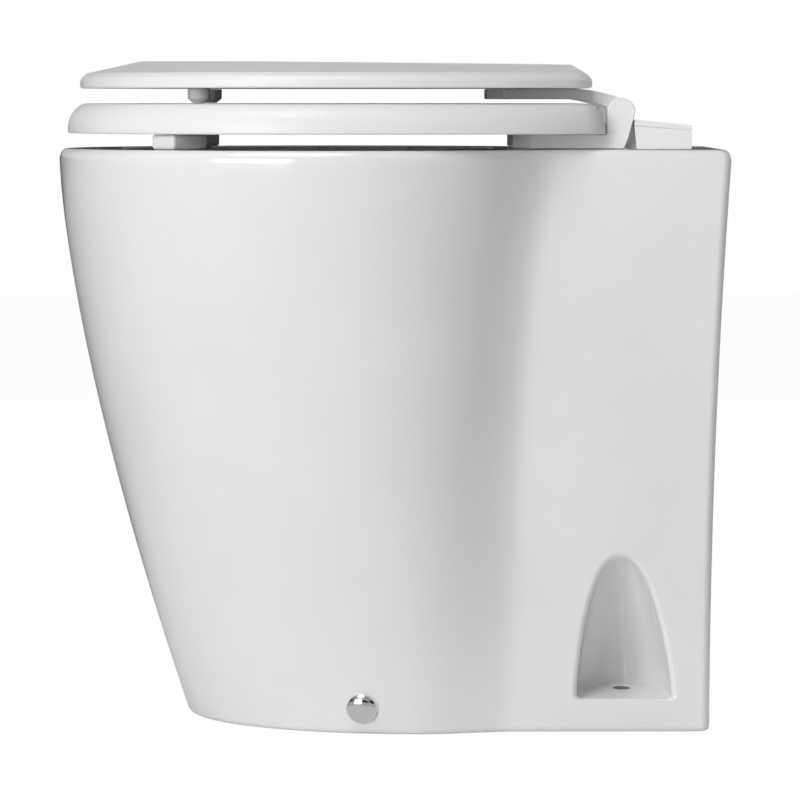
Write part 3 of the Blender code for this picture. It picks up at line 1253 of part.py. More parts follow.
def make_pump_base():
    """Foot plate with two saddles under the motor, and the strap that holds the motor down."""
    base = box("pump_base", (-BASE_HALF_WIDTH, BASE_FRONT, 0), (BASE_HALF_WIDTH, BASE_BACK, BASE_THICKNESS),
               PUMP_PLASTIC)
    saddles = []
    for name, y, width in (("front", SADDLE_FRONT, SADDLE_WIDTH), ("middle", STRAP_Y, STRAP_WIDTH),
                           ("back", SADDLE_BACK, SADDLE_WIDTH)):
        top = PUMP_Z if name == "middle" else PUMP_Z - MOTOR_RADIUS / 2
        saddles.append(box("saddle_" + name, (-SADDLE_HALF_WIDTH, y - width / 2, BASE_THICKNESS / 2),
                           (SADDLE_HALF_WIDTH, y + width / 2, top)))
    combine(base, saddles, "UNION")
    bed = round_space("motor_bed", MOTOR_RADIUS + GAP, BASE_FRONT - OVERRUN, BASE_BACK + OVERRUN, PUMP_AXIS,
                      ALONG_Y, FINE_STEPS)
    holes = []
    for x in (-BASE_HALF_WIDTH + BASE_HOLE_INSET, BASE_HALF_WIDTH - BASE_HOLE_INSET):
        for y in (BASE_FRONT + BASE_HOLE_INSET, BASE_BACK - BASE_HOLE_INSET):
            holes.append(rod("base_hole_%d" % len(holes), BASE_HOLE_RADIUS, (x, y, -OVERRUN), UP, 2 * OVERRUN
                             + BASE_THICKNESS, steps=ROUND_STEPS // 2))
    combine(base, [bed] + holes)
    inner = MOTOR_RADIUS + GAP
    outer = inner + STRAP_THICKNESS
    low = PUMP_Z + GAP
    outline = [(STRAP_REACH, low), (STRAP_REACH, low + STRAP_THICKNESS)]
    outline += arc((0, low), outer, math.radians(4), math.radians(176), 16)
    outline += [(-STRAP_REACH, low + STRAP_THICKNESS), (-STRAP_REACH, low)]
    outline += arc((0, low), inner, math.pi, 0, 16)
    ends = (STRAP_Y - STRAP_WIDTH / 2, STRAP_Y + STRAP_WIDTH / 2)
    rings = [[Vector((x, y, z)) for x, z in outline] for y in ends]
    return loft("motor_strap", rings, STAINLESS)


# Discharge with non-return flap

def make_discharge():
    radius = PORT_RADIUS + GAP + DISCHARGE_WALL
    points = [(0, PORT_Y, DISCHARGE_ELBOW_LOW)]
    centre = (PORT_Y + DISCHARGE_BEND, DISCHARGE_Z - DISCHARGE_BEND)
    bend = arc(centre, DISCHARGE_BEND, math.pi, math.pi / 2, 7)
    points += [(0, y, z) for y, z in bend] + [(0, DISCHARGE_ELBOW_END, DISCHARGE_Z)]
    tube("discharge_elbow", points, [radius] * len(points), PIPE_PLASTIC, DISCHARGE_WALL)

    axis = Vector((0, 0, DISCHARGE_Z))
    seat_low = DISCHARGE_ELBOW_END + GAP
    seat_high = seat_low + FLAP_SEAT_THICKNESS
    chamber_end = seat_low + FLAP_CHAMBER_LENGTH
    chamber = FLAP_CHAMBER_RADIUS - FLAP_CHAMBER_WALL
    socket_front = DISCHARGE_ELBOW_END - FLAP_SOCKET_LENGTH
    socket = radius + 2 * GAP
    neck = socket + DISCHARGE_WALL
    profile = [(FLAP_CHAMBER_RADIUS, chamber_end), (FLAP_CHAMBER_RADIUS, seat_low), (neck, seat_low),
               (neck, socket_front), (socket, socket_front), (socket, seat_low), (PORT_BORE, seat_low),
               (PORT_BORE, seat_high), (chamber, seat_high), (chamber, chamber_end)]
    housing = turned("flap_housing", profile, PIPE_PLASTIC, axis, ALONG_Y)
    pin_y = seat_high + FLAP_PIN_BACK
    pin_z = DISCHARGE_Z + FLAP_PIN_RISE
    span = FLAP_PIN_LENGTH
    across = Vector((1, 0, 0))
    room = span + 2 * GAP
    combine(housing, [rod("flap_pin_room", FLAP_PIN_RADIUS + GAP, (-room / 2, pin_y, pin_z), across, room)])
    rod("flap_pin", FLAP_PIN_RADIUS, (-span / 2, pin_y, pin_z), across, span, STAINLESS, ROUND_STEPS // 2)

    flap = rod("flap", FLAP_RADIUS, (0, seat_high + GAP, DISCHARGE_Z), ALONG_Y, FLAP_THICKNESS, RUBBER)
    barrel = rod("flap_barrel", FLAP_BARREL_RADIUS, (-FLAP_BARREL_LENGTH / 2, pin_y, pin_z), across,
                 FLAP_BARREL_LENGTH)
    web = box("flap_web", (-FLAP_BARREL_LENGTH / 2, seat_high + 2 * GAP, pin_z - 3 * FLAP_BARREL_RADIUS),
              (FLAP_BARREL_LENGTH / 2, pin_y, pin_z))
    eye_start = (-FLAP_BARREL_LENGTH, pin_y, pin_z)
    eye = rod("flap_eye", FLAP_PIN_RADIUS + GAP, eye_start, across, 2 * FLAP_BARREL_LENGTH)
    combine(flap, [barrel, web], "UNION")
    combine(flap, [eye])

    flange_low = chamber_end + GAP
    flange_high = flange_low + TAIL_FLANGE
    spigot = chamber - GAP
    profile = [(PORT_RADIUS, TAIL_END), (PORT_RADIUS, flange_high), (FLAP_CHAMBER_RADIUS, flange_high),
               (FLAP_CHAMBER_RADIUS, flange_low), (spigot, flange_low), (spigot, chamber_end - TAIL_SPIGOT),
               (PORT_BORE, chamber_end - TAIL_SPIGOT), (PORT_BORE, TAIL_END)]
    turned("discharge_tail", profile, PIPE_PLASTIC, axis, ALONG_Y)
    return flap, Vector((0, pin_y, pin_z))


# Flush inlet and solenoid valve

def make_inlet():
    axis = Vector((0, 0, INLET_Z))
    gasket_low = INLET_BOSS_FACE + GAP
    gasket_high = gasket_low + GASKET_THICKNESS
    flange_low = gasket_high + GAP
    flange_high = flange_low + SPUD_FLANGE_THICKNESS
    neck = INLET_HOLE_RADIUS - GAP
    front = flange_low - SPUD_NECK_LENGTH
    end = flange_high + SPUD_TAIL_LENGTH
    gasket = SPUD_FLANGE_RADIUS - GAP
    ring("inlet_gasket", gasket, INLET_HOLE_RADIUS, gasket_low, gasket_high, RUBBER, axis, ALONG_Y)
    profile = [(SPUD_TAIL_RADIUS, end), (SPUD_TAIL_RADIUS, flange_high), (SPUD_FLANGE_RADIUS, flange_high),
               (SPUD_FLANGE_RADIUS, flange_low), (neck, flange_low), (neck, front),
               (SPUD_BORE, front), (SPUD_BORE, end)]
    turned("inlet_spud", profile, PIPE_PLASTIC, axis, ALONG_Y)
    return flange_high + GAP, end


def round_space(name, radius, low, high, location, direction, steps=ROUND_STEPS):
    """A cutter for a round hole between two places along its axis."""
    profile = [(0, high), (radius, high), (radius, low), (0, low)]
    return turned(name, profile, None, location, direction, steps)


def make_valve(valve_front, spud_end):
    """Valve body on the spud, with the coil and its plunger hanging below."""
    back = valve_front + VALVE_LENGTH
    body = rod("valve_body", VALVE_RADIUS, (0, valve_front, INLET_Z), ALONG_Y, VALVE_LENGTH, PUMP_PLASTIC)
    stem = rod("valve_stem", VALVE_STEM_RADIUS, (0, VALVE_STEM_Y, VALVE_STEM_END), UP, VALVE_STEM_LENGTH)
    tail_start = (0, back - OVERRUN, INLET_Z)
    tail = rod("valve_tail", VALVE_TAIL_RADIUS, tail_start, ALONG_Y, VALVE_TAIL_LENGTH + OVERRUN)
    combine(body, [stem, tail], "UNION")
    socket = round_space("valve_socket", SPUD_TAIL_RADIUS + GAP, valve_front - OVERRUN, spud_end + GAP,
                         (0, 0, INLET_Z), ALONG_Y)
    bore_length = VALVE_LENGTH + VALVE_TAIL_LENGTH + OVERRUN
    bore = rod("valve_bore", VALVE_BORE, (0, valve_front, INLET_Z), ALONG_Y, bore_length)
    chamber = round_space("valve_chamber", GUIDE_RADIUS + GAP, VALVE_STEM_END - OVERRUN, INLET_Z,
                          (0, VALVE_STEM_Y, 0), UP)
    combine(body, [socket, bore, chamber])

    place = (0, VALVE_STEM_Y, 0)
    flange_top = VALVE_STEM_END - GAP
    flange_low = flange_top - GUIDE_FLANGE_THICKNESS
    inner = GUIDE_RADIUS - GUIDE_WALL
    floor = GUIDE_BOTTOM + GUIDE_WALL
    profile = [(0, floor), (inner, floor), (inner, GUIDE_TOP), (GUIDE_RADIUS, GUIDE_TOP),
               (GUIDE_RADIUS, flange_top), (GUIDE_FLANGE_RADIUS, flange_top),
               (GUIDE_FLANGE_RADIUS, flange_low), (GUIDE_RADIUS, flange_low),
               (GUIDE_RADIUS, GUIDE_BOTTOM), (0, GUIDE_BOTTOM)]
    turned("guide_tube", profile, STAINLESS, place)
    coil_top = flange_low - GAP
    coil_low = coil_top - COIL_LENGTH
    ring("coil", COIL_RADIUS, GUIDE_RADIUS + GAP, coil_low, coil_top, PUMP_PLASTIC, place)
    clip_top = coil_low - GAP
    ring("coil_clip", CLIP_RADIUS, GUIDE_RADIUS + GAP, clip_top - CLIP_LENGTH, clip_top, STAINLESS, place)

    plunger_top = INLET_Z - VALVE_BORE - GAP
    foot = (0, VALVE_STEM_Y, PLUNGER_BOTTOM)
    plunger = rod("plunger", PLUNGER_RADIUS, foot, UP, plunger_top - PLUNGER_BOTTOM, STAINLESS)
    make_spring(floor + GAP, PLUNGER_BOTTOM - GAP)
    return plunger


def make_spring(low, high):
    """Return spring under the plunger, one unbroken wire."""
    per_turn = 8
    steps = SPRING_TURNS * per_turn
    low_wire = low + SPRING_WIRE
    rise = high - low - 2 * SPRING_WIRE
    points = []
    for i in range(steps + 1):
        turn = 2 * math.pi * i / per_turn
        points.append((SPRING_RADIUS * math.cos(turn), VALVE_STEM_Y + SPRING_RADIUS * math.sin(turn),
                       low_wire + rise * i / steps))
    return tube("plunger_spring", points, [SPRING_WIRE] * len(points), STAINLESS, steps=6)


def build():
    make_pan()
    seat_empty = axis_empty("seat_hinge_axis", HINGE_AXIS)
    lid_empty = axis_empty("lid_hinge_axis", HINGE_AXIS)
    on_seat = [make_seat()]
    on_lid = [make_lid()]
    for name, side in SIDES.items():
        on_seat.append(make_seat_buffer("seat_buffer_" + name, side))
        on_lid.append(make_lid_buffer("lid_buffer_" + name, side))
        seat_arm, lid_arm, *_ = make_hinge(name, side)
        on_seat.append(seat_arm)
        on_lid.append(lid_arm)
        make_side_fixing(name, side)
    carry(seat_empty, on_seat)
    carry(lid_empty, on_lid)
    make_outlet()
    carry(axis_empty("pump_axis", PUMP_AXIS), make_pump())
    make_motor()
    make_pump_base()
    flap, flap_axis = make_discharge()
    carry(axis_empty("flap_axis", flap_axis), [flap])
    make_valve(*make_inlet())


build()
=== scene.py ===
"""Looks for an electric marine toilet: glazed pan, moulded seat and lid, hinges, and the works inside.

Metres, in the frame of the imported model.  The front faces -Y and +Z is up.
"""

import math

import bmesh
import bpy
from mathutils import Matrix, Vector


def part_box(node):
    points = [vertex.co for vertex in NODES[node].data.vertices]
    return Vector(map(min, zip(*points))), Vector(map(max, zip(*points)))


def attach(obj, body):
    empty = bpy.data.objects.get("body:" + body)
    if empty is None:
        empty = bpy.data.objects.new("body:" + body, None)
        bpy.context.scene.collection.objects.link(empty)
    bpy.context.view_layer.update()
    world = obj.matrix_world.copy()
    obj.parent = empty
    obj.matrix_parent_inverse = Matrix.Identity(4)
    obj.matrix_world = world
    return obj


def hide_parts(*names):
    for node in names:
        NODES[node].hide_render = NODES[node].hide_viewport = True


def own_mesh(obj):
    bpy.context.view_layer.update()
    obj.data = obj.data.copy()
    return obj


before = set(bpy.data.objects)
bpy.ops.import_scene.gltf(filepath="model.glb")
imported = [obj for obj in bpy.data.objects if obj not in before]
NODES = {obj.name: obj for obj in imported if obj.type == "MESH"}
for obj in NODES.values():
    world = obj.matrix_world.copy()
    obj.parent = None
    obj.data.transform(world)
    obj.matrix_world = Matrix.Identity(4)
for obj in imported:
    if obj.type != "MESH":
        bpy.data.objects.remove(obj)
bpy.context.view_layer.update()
bpy.ops.object.select_all(action="DESELECT")

# Room between neighbouring pieces
GAP = 0.0003

# Sizes of the pan, read from the frame where it has them
PAN_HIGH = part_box("pan")[1]
HALF_LENGTH = PAN_HIGH.y
RIM_HEIGHT = PAN_HIGH.z
RIM_HALF_WIDTH = PAN_HIGH.x
RIM_EDGE = 0.0085
RIM_EDGE_IN = 0.0055
PROFILE_HEIGHT = RIM_HEIGHT - RIM_EDGE
FOOT_EDGE = 0.004
BOX_HALF_WIDTH = 0.119
FOOT_HALF_WIDTH = 0.131
FRONT_DRAW_IN = 0.097
BACK_DRAW_IN = 0.0141
FRONT_POWER = 1.45
SIDE_POWER = 1.35
WIDEST_AT_RIM = -0.045
WIDEST_AT_FOOT = 0.016
WIDEST_POWER = 1.3
REAR_CURVE_AT_RIM = 0.1995
REAR_CURVE_AT_FOOT = 0.1145
REAR_CURVE_POWER = 0.8
BOX_TAPER = 0.0015
BOX_CORNER = 0.0065
CREASE_BLEND = 0.022
WALL = 0.011
DECK_THICKNESS = 0.016
HOLLOW_CORNER = 0.006
BOWL_CENTRE = -0.0625
BOWL_HALF_LENGTH = 0.1375
BOWL_HALF_WIDTH = 0.130
BOWL_EDGE = 0.006
BOWL_POWERS = (2.2, 0.625)
LIP_DEPTH = 0.0415
LIP_THICKNESS = 0.008
CHANNEL_WIDTH = 0.012
CHANNEL_HEIGHT = 0.020
BOWL_WALL = 0.009
SUMP_Y = -0.045
SUMP_Z = 0.165
THROAT_RADIUS = 0.024
SPIGOT_WALL = 0.008
SPIGOT_END = 0.132
RECESS_Y = 0.1733
RECESS_LEAN = 0.003
RECESS_HALF_WIDTH = 0.035
RECESS_DEPTH = 0.066
RECESS_WALL = 0.007
RECESS_FOOT = 0.004
RECESS_TOP = 0.130
RECESS_DEPTH_POWERS = (1.6, 0.7)
RECESS_WIDTH_POWERS = (1.3, 0.45)
RECESS_ROLL = 0.0045
RECESS_ROLL_TURN = math.radians(80)
RECESS_FLARE = 0.9
RECESS_RUN_OUT = 0.0010
LEDGE_ROLL = 0.0015
LEDGE_CORNER = 0.003
LEDGE_HEIGHT = 0.0245
LEDGE_RISE = 0.064
LEDGE_HOLE_X = 0.076
LEDGE_HOLE_RADIUS = 0.0065
SERVICE_HALF_WIDTH = 0.085
SERVICE_HEIGHT = 0.270
SERVICE_CORNER = 0.030
DECK_HOLE_RADIUS = 0.006
SIDE_HOLE_RADIUS = 0.0034
SIDE_SCREW_PLACE = (-0.0206, 0.0197)
INLET_HOLE_RADIUS = 0.0085
INLET_BOSS_RADIUS = 0.020
INLET_BOSS_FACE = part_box("inlet_gasket")[0].y - GAP
INLET_Z = (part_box("inlet_gasket")[0].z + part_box("inlet_gasket")[1].z) / 2
OVERRUN = 0.006
ALMOST_ALL = 0.9995
ALMOST_TOP = 0.999

# Sizes of the seat ring and the lid
SEAT_LOW, SEAT_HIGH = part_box("seat")
SEAT_REAR_CURVE = 0.260
SEAT_CORNER = 0.032
SEAT_ROUNDING = 0.0150
SEAT_FOOT_ROUND = 0.0015
SEAT_HOLE_FRONT = SEAT_LOW.y + 0.0724
SEAT_HOLE_BACK = SEAT_HIGH.y - 0.0869
SEAT_HOLE_HALF_WIDTH = SEAT_HIGH.x - 0.067
SEAT_HOLE_ROUNDING = 0.012
LID_LOW, LID_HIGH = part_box("lid")
LID_REAR_CURVE = 0.250
LID_CORNER = 0.030
LID_EDGE_HEIGHT = 0.0115
LID_EDGE_LEAN = 0.0055
LID_BEVEL = 0.040
LID_REAR_BEVEL = 0.009
LID_RISE = 0.0207
LID_TOP_FALL = 0.0034
LID_FOOT_ROUND = 0.0015
LID_BREAK = 0.0035

# Mesh steps, the angles past which an edge stays sharp, and how near points are when they are joined
FRONT_STEPS = 44
REAR_STEPS = 26
CORNER_STEPS = 6
LEVEL_STEPS = 52
OVAL_STEPS = 96
SHELL_STEPS = 72
ROUND_STEPS = 64
ARCH_STEPS = 20
SIDES = {"left": -1, "right": 1}
ALONG_X = Vector((1, 0, 0))
ALONG_Y = Vector((0, 1, 0))
UP = Vector((0, 0, 1))
SHARP = math.radians(34)
FINE = math.radians(28)
WELD = 0.000005


# Modelling by hand

def pick(obj):
    bpy.ops.object.select_all(action="DESELECT")
    obj.select_set(True)
    bpy.context.view_layer.objects.active = obj


def edit(obj, select="DESELECT"):
    """Edit mode on one object, with all or nothing selected."""
    pick(obj)
    bpy.ops.object.mode_set(mode="EDIT")
    bpy.ops.mesh.select_all(action=select)
    bm = bmesh.from_edit_mesh(obj.data)
    bm.verts.ensure_lookup_table()
    return bm


def object_mode():
    bpy.ops.object.mode_set(mode="OBJECT")


def new_piece(name):
    obj = bpy.context.active_object
    obj.name = name
    obj.data.name = name
    return obj


def apply_place(obj):
    pick(obj)
    bpy.ops.object.transform_apply(location=True, rotation=True, scale=True)
    return obj


def apply_modifier(obj, kind, **settings):
    pick(obj)
    step = obj.modifiers.new("step", kind)
    for key, value in settings.items():
        setattr(step, key, value)
    bpy.ops.object.modifier_apply(modifier=step.name)
    return obj


def round_edges(obj, width, segments=3, angle=SHARP):
    return apply_modifier(obj, "BEVEL", width=width, segments=segments, limit_method="ANGLE",
                          angle_limit=angle, use_clamp_overlap=True, harden_normals=False)


def finish_shading(obj, angle=SHARP):
    pick(obj)
    bpy.ops.object.shade_smooth_by_angle(angle=angle)
    return apply_modifier(obj, "WEIGHTED_NORMAL", weight=60, keep_sharp=True)


def cut(obj, tools, operation="DIFFERENCE"):
    """Takes tools away from a piece one by one, and deletes them."""
    for tool in tools:
        apply_modifier(obj, "BOOLEAN", object=tool, operation=operation, solver="EXACT")
        bpy.data.objects.remove(tool)
    return obj


def raise_rings(name, rings, loop=False):
    """A skin drawn up from a circle: its edge is extruded once for each ring and set to that outline."""
    bpy.ops.mesh.primitive_circle_add(vertices=len(rings[0]), radius=1)
    obj = new_piece(name)
    bm = edit(obj, "SELECT")
    row = [vert.index for vert in bm.verts]
    for index, point in zip(row, rings[0]):
        bm.verts[index].co = point
    for ring in rings[1:]:
        bpy.ops.mesh.extrude_region()
        bm = bmesh.from_edit_mesh(obj.data)
        bm.verts.index_update()
        bm.verts.ensure_lookup_table()
        above = []
        for index in row:
            vert = bm.verts[index]
            ends = [edge.other_vert(vert) for edge in vert.link_edges]
            above.append(next(end.index for end in ends if end.select))
        for index, point in zip(above, ring):
            bm.verts[index].co = point
        row = above
    bmesh.update_edit_mesh(obj.data)
    bpy.ops.mesh.select_all(action="DESELECT")
    bpy.ops.mesh.select_mode(type="EDGE")
    bpy.ops.mesh.select_non_manifold()
    if loop:
        bpy.ops.mesh.bridge_edge_loops()
    else:
        bpy.ops.mesh.edge_face_add()
    bpy.ops.mesh.select_mode(type="VERT")
    bpy.ops.mesh.select_all(action="SELECT")
    bpy.ops.mesh.normals_make_consistent(inside=False)
    object_mode()
    return obj


def turned(name, profile, place=(0, 0, 0), direction=(0, 0, 1), steps=ROUND_STEPS):
    """A closed profile of radius and height, spun about its axis and stood along a direction."""
    bpy.ops.mesh.primitive_circle_add(vertices=len(profile), radius=1)
    obj = new_piece(name)
    bm = edit(obj, "SELECT")
    for vert, (radius, height) in zip(bm.verts, profile):
        vert.co = (radius, 0, height)
    bmesh.update_edit_mesh(obj.data)
    bpy.ops.mesh.spin(steps=steps, angle=2 * math.pi, center=(0, 0, 0), axis=(0, 0, 1))
    bpy.ops.mesh.select_all(action="SELECT")
    bpy.ops.mesh.remove_doubles(threshold=WELD)
    bpy.ops.mesh.select_all(action="SELECT")
    bpy.ops.mesh.normals_make_consistent(inside=False)
    object_mode()
    obj.rotation_euler = Vector((0, 0, 1)).rotation_difference(Vector(direction)).to_euler()
    obj.location = place
    return apply_place(obj)


def rod(name, radius, start, direction, length, steps=ROUND_STEPS):
    """A cylinder along a direction, for holes and for parts that are joined on."""
    centre = Vector(start) + Vector(direction).normalized() * length / 2
    turn = Vector((0, 0, 1)).rotation_difference(Vector(direction)).to_euler()
    bpy.ops.mesh.primitive_cylinder_add(vertices=steps, radius=radius, depth=length, location=centre,
                                        rotation=turn)
    return apply_place(new_piece(name))


def middle(node):
    """The middle of a solid's box."""
    low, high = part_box(node)
    return (low + high) / 2


def arc(centre, radius, start, end, steps):
    """Points in a plane along part of a circle, from one angle to another."""
    turns = [start + (end - start) * i / steps for i in range(steps + 1)]
    return [(centre[0] + radius * math.cos(t), centre[1] + radius * math.sin(t)) for t in turns]


def mirrored_ring(half, height):
    """A closed ring from a half outline that runs from the front tip to the back on the +X side."""
    right = [Vector((x, y, height)) for x, y in half]
    left = [Vector((-x, y, height)) for x, y in reversed(half[1:-1])]
    return right + left


def taper(share, powers):
    """A size that goes from 1 to 0 as the share grows, along a curve with two powers."""
    first, second = powers
    return (1 - share ** first) ** second


# Outline of the pan

def fall(height):
    """How far a level lies from the rim to the floor, from 0 to 1."""
    return min(max((PROFILE_HEIGHT - height) / PROFILE_HEIGHT, 0), 1)


def soft_maximum(a, b, blend):
    """The larger of two lengths, with a fillet where they meet."""
    overlap = max(blend - abs(a - b), 0) / blend
    return max(a, b) + overlap * overlap * blend / 4


def pan_level(height, inset=0):
    """The driving lengths of the pan's outline at one level, drawn in by an inset."""
    down = fall(height)
    widest = WIDEST_AT_RIM + (WIDEST_AT_FOOT - WIDEST_AT_RIM) * down ** WIDEST_POWER
    front = -HALF_LENGTH + FRONT_DRAW_IN * down ** FRONT_POWER
    half_width = RIM_HALF_WIDTH - (RIM_HALF_WIDTH - FOOT_HALF_WIDTH) * down ** SIDE_POWER
    rear = REAR_CURVE_AT_RIM + (REAR_CURVE_AT_FOOT - REAR_CURVE_AT_RIM) * down ** REAR_CURVE_POWER
    back = HALF_LENGTH - BACK_DRAW_IN * (1 - (1 - down) ** 2)
    return widest, widest - front - inset, half_width - inset, rear - inset, back - inset


def box_side(y, inset=0):
    """Half width of the boxy rear at a place along Y."""
    return BOX_HALF_WIDTH - inset - BOX_TAPER * y / HALF_LENGTH


def pan_half_outline(height, inset, corner, front_steps=FRONT_STEPS, rear_steps=REAR_STEPS):
    """Half the pan's outline at one level: round front, bowed side, boxy rear and its corner."""
    widest, forward, half_width, rear, back = pan_level(height, inset)
    points = []
    for i in range(front_steps + 1):
        turn = math.pi / 2 * i / front_steps
        points.append((half_width * math.sin(turn), widest - forward * math.cos(turn)))
    crease = widest + rear * math.sqrt(1 - (BOX_HALF_WIDTH / (half_width + inset)) ** 2)
    blend_end = crease + 1.5 * CREASE_BLEND
    for i in range(1, rear_steps + 1):
        y = widest + (blend_end - widest) * i / rear_steps
        bow = half_width * math.sqrt(max(1 - ((y - widest) / rear) ** 2, 0))
        points.append((soft_maximum(bow, box_side(y, inset), CREASE_BLEND), y))
    corner_y = back - corner
    corner_x = box_side(corner_y, inset) - corner
    points += arc((corner_x, corner_y), corner, 0, math.pi / 2, CORNER_STEPS)
    points.append((0, back))
    return points


def skirt_point(side, y, height):
    """A point on the outer skirt ahead of the crease, and the outward normal there."""
    def half_width(at_y, at_z):
        widest, forward, half, rear, _ = pan_level(at_z)
        reach = forward if at_y < widest else rear
        return half * math.sqrt(1 - ((at_y - widest) / reach) ** 2)

    step = 0.0003
    here = half_width(y, height)
    slope_y = (half_width(y + step, height) - here) / step
    slope_z = (half_width(y, height + step) - here) / step
    normal = Vector((side, -slope_y, -slope_z)).normalized()
    return Vector((side * here, y, height)), normal


# Pan

def pan_rings():
    """Levels of the outer skin, from the rounded foot to the rounded rim."""
    rings = []
    for i in range(4):
        turn = math.pi / 2 * i / 4
        inset = FOOT_EDGE * (1 - math.sin(turn))
        height = FOOT_EDGE * (1 - math.cos(turn))
        rings.append(mirrored_ring(pan_half_outline(height, inset, BOX_CORNER), height))
    for i in range(LEVEL_STEPS + 1):
        height = FOOT_EDGE + (PROFILE_HEIGHT - FOOT_EDGE) * i / LEVEL_STEPS
        rings.append(mirrored_ring(pan_half_outline(height, 0, BOX_CORNER), height))
    for i in range(1, 9):
        turn = math.pi / 2 * i / 8
        height = PROFILE_HEIGHT + RIM_EDGE * math.sin(turn)
        inset = RIM_EDGE_IN * (1 - math.cos(turn))
        rings.append(mirrored_ring(pan_half_outline(height, inset, BOX_CORNER), height))
    return rings


def oval(half_width, half_length, centre, height, steps=OVAL_STEPS):
    turns = [2 * math.pi * i / steps for i in range(steps)]
    return [Vector((half_width * math.cos(t), centre + half_length * math.sin(t), height)) for t in turns]


def bowl_wall_rings(grow, drop, throat, levels):
    """The bowl's surface from the rim channel down to the throat, lowest ring last."""
    top = RIM_HEIGHT - LIP_DEPTH - drop
    wide = BOWL_HALF_WIDTH + LIP_THICKNESS + CHANNEL_WIDTH + grow
    long = BOWL_HALF_LENGTH + LIP_THICKNESS + CHANNEL_WIDTH + grow
    rings = [oval(wide, long, BOWL_CENTRE, top)]
    for i in range(1, levels + 1):
        depth = math.sin(math.pi / 2 * i / levels)
        share = taper(depth, BOWL_POWERS)
        centre = BOWL_CENTRE + (SUMP_Y - BOWL_CENTRE) * depth
        height = top + (SUMP_Z - drop - top) * depth
        half_width = throat + (wide - throat) * share
        half_length = throat + (long - throat) * share
        rings.append(oval(half_width, half_length, centre, height))
    return rings


def bowl_tool():
    """The space inside the bowl, with the rim's overhang and the water channel behind its lip."""
    lip_z = RIM_HEIGHT - LIP_DEPTH
    roof_z = lip_z + CHANNEL_HEIGHT
    lip_round = LIP_THICKNESS / 2
    steps = [(BOWL_EDGE + OVERRUN, RIM_HEIGHT + OVERRUN / 2)]
    for i in range(7):
        turn = math.pi / 2 * i / 6
        steps.append((BOWL_EDGE * (1 - math.sin(turn)), RIM_HEIGHT - BOWL_EDGE * (1 - math.cos(turn))))
    for i in range(7):
        turn = math.pi * i / 6
        steps.append((lip_round * (1 - math.cos(turn)), lip_z + lip_round * (1 - math.sin(turn))))
    steps += [(LIP_THICKNESS, roof_z), (LIP_THICKNESS + CHANNEL_WIDTH, roof_z)]
    rings = [oval(BOWL_HALF_WIDTH + grow, BOWL_HALF_LENGTH + grow, BOWL_CENTRE, z) for grow, z in steps]
    rings += bowl_wall_rings(0, 0, THROAT_RADIUS, 22)
    rings.append(oval(THROAT_RADIUS, THROAT_RADIUS, SUMP_Y, SPIGOT_END - OVERRUN))
    return raise_rings("bowl_tool", rings)


def bowl_shell():
    """The outside of the bowl's wall and of the outlet spigot, kept when the pedestal is hollowed."""
    reach = LIP_THICKNESS + CHANNEL_WIDTH + BOWL_WALL
    rings = [oval(BOWL_HALF_WIDTH + reach, BOWL_HALF_LENGTH + reach, BOWL_CENTRE, RIM_HEIGHT, SHELL_STEPS)]
    for ring in bowl_wall_rings(BOWL_WALL, BOWL_WALL, THROAT_RADIUS + SPIGOT_WALL, 14):
        centre = sum(ring, Vector()) / len(ring)
        wide = max(point.x for point in ring)
        long = max(point.y for point in ring) - centre.y
        rings.append(oval(wide, long, centre.y, centre.z, SHELL_STEPS))
    spigot = THROAT_RADIUS + SPIGOT_WALL
    rings.append(oval(spigot, spigot, SUMP_Y, SPIGOT_END, SHELL_STEPS))
    return raise_rings("bowl_shell", rings)


def recess_half(share, inward):
    """Half width of the recess at a share of its height and a depth in from the wall."""
    deepest = RECESS_DEPTH * taper(share, RECESS_DEPTH_POWERS)
    spread = taper(share, RECESS_WIDTH_POWERS)
    return RECESS_HALF_WIDTH * spread * math.sqrt(max(1 - (inward / deepest) ** 2, 0))


def recess_arch(inward):
    """The arch at one depth: its foot corner, side and crown on the +Y half, as offsets and heights."""
    first, second = RECESS_DEPTH_POWERS
    top_share = max(1 - (inward / RECESS_DEPTH) ** (1 / second), 0) ** (1 / first)
    foot = LEDGE_HEIGHT + RECESS_FOOT
    half = recess_half(0, inward)
    corner = min(LEDGE_CORNER, half / 2)
    side = arc((half - corner, LEDGE_HEIGHT + corner), corner, -math.pi / 2, 0, 4)
    side.append((half, foot))
    for i in range(1, ARCH_STEPS):
        share = top_share * math.sin(math.pi / 2 * i / ARCH_STEPS)
        side.append((recess_half(share, inward), foot + (RECESS_TOP - foot) * share))
    side.append((0, foot + (RECESS_TOP - foot) * top_share))
    return side


def rolled_arch(inward, outward):
    """An arch near the wall, pushed outward along its own edge to shape the rolled rim."""
    side = recess_arch(inward)
    moved = []
    for i, (across, height) in enumerate(side):
        before = Vector(side[max(i - 1, 0)])
        after = Vector(side[min(i + 1, len(side) - 1)])
        along = (after - before).normalized()
        normal = Vector((along.y, -along.x))
        if i == len(side) - 1:
            normal = Vector((0, 1))
        if i == 0:
            normal = Vector((0, -1))
        size = RECESS_ROLL + (LEDGE_ROLL - RECESS_ROLL) * max(-normal.y, 0)
        moved.append((across + normal.x * outward * size, height + normal.y * outward * size))
    return moved


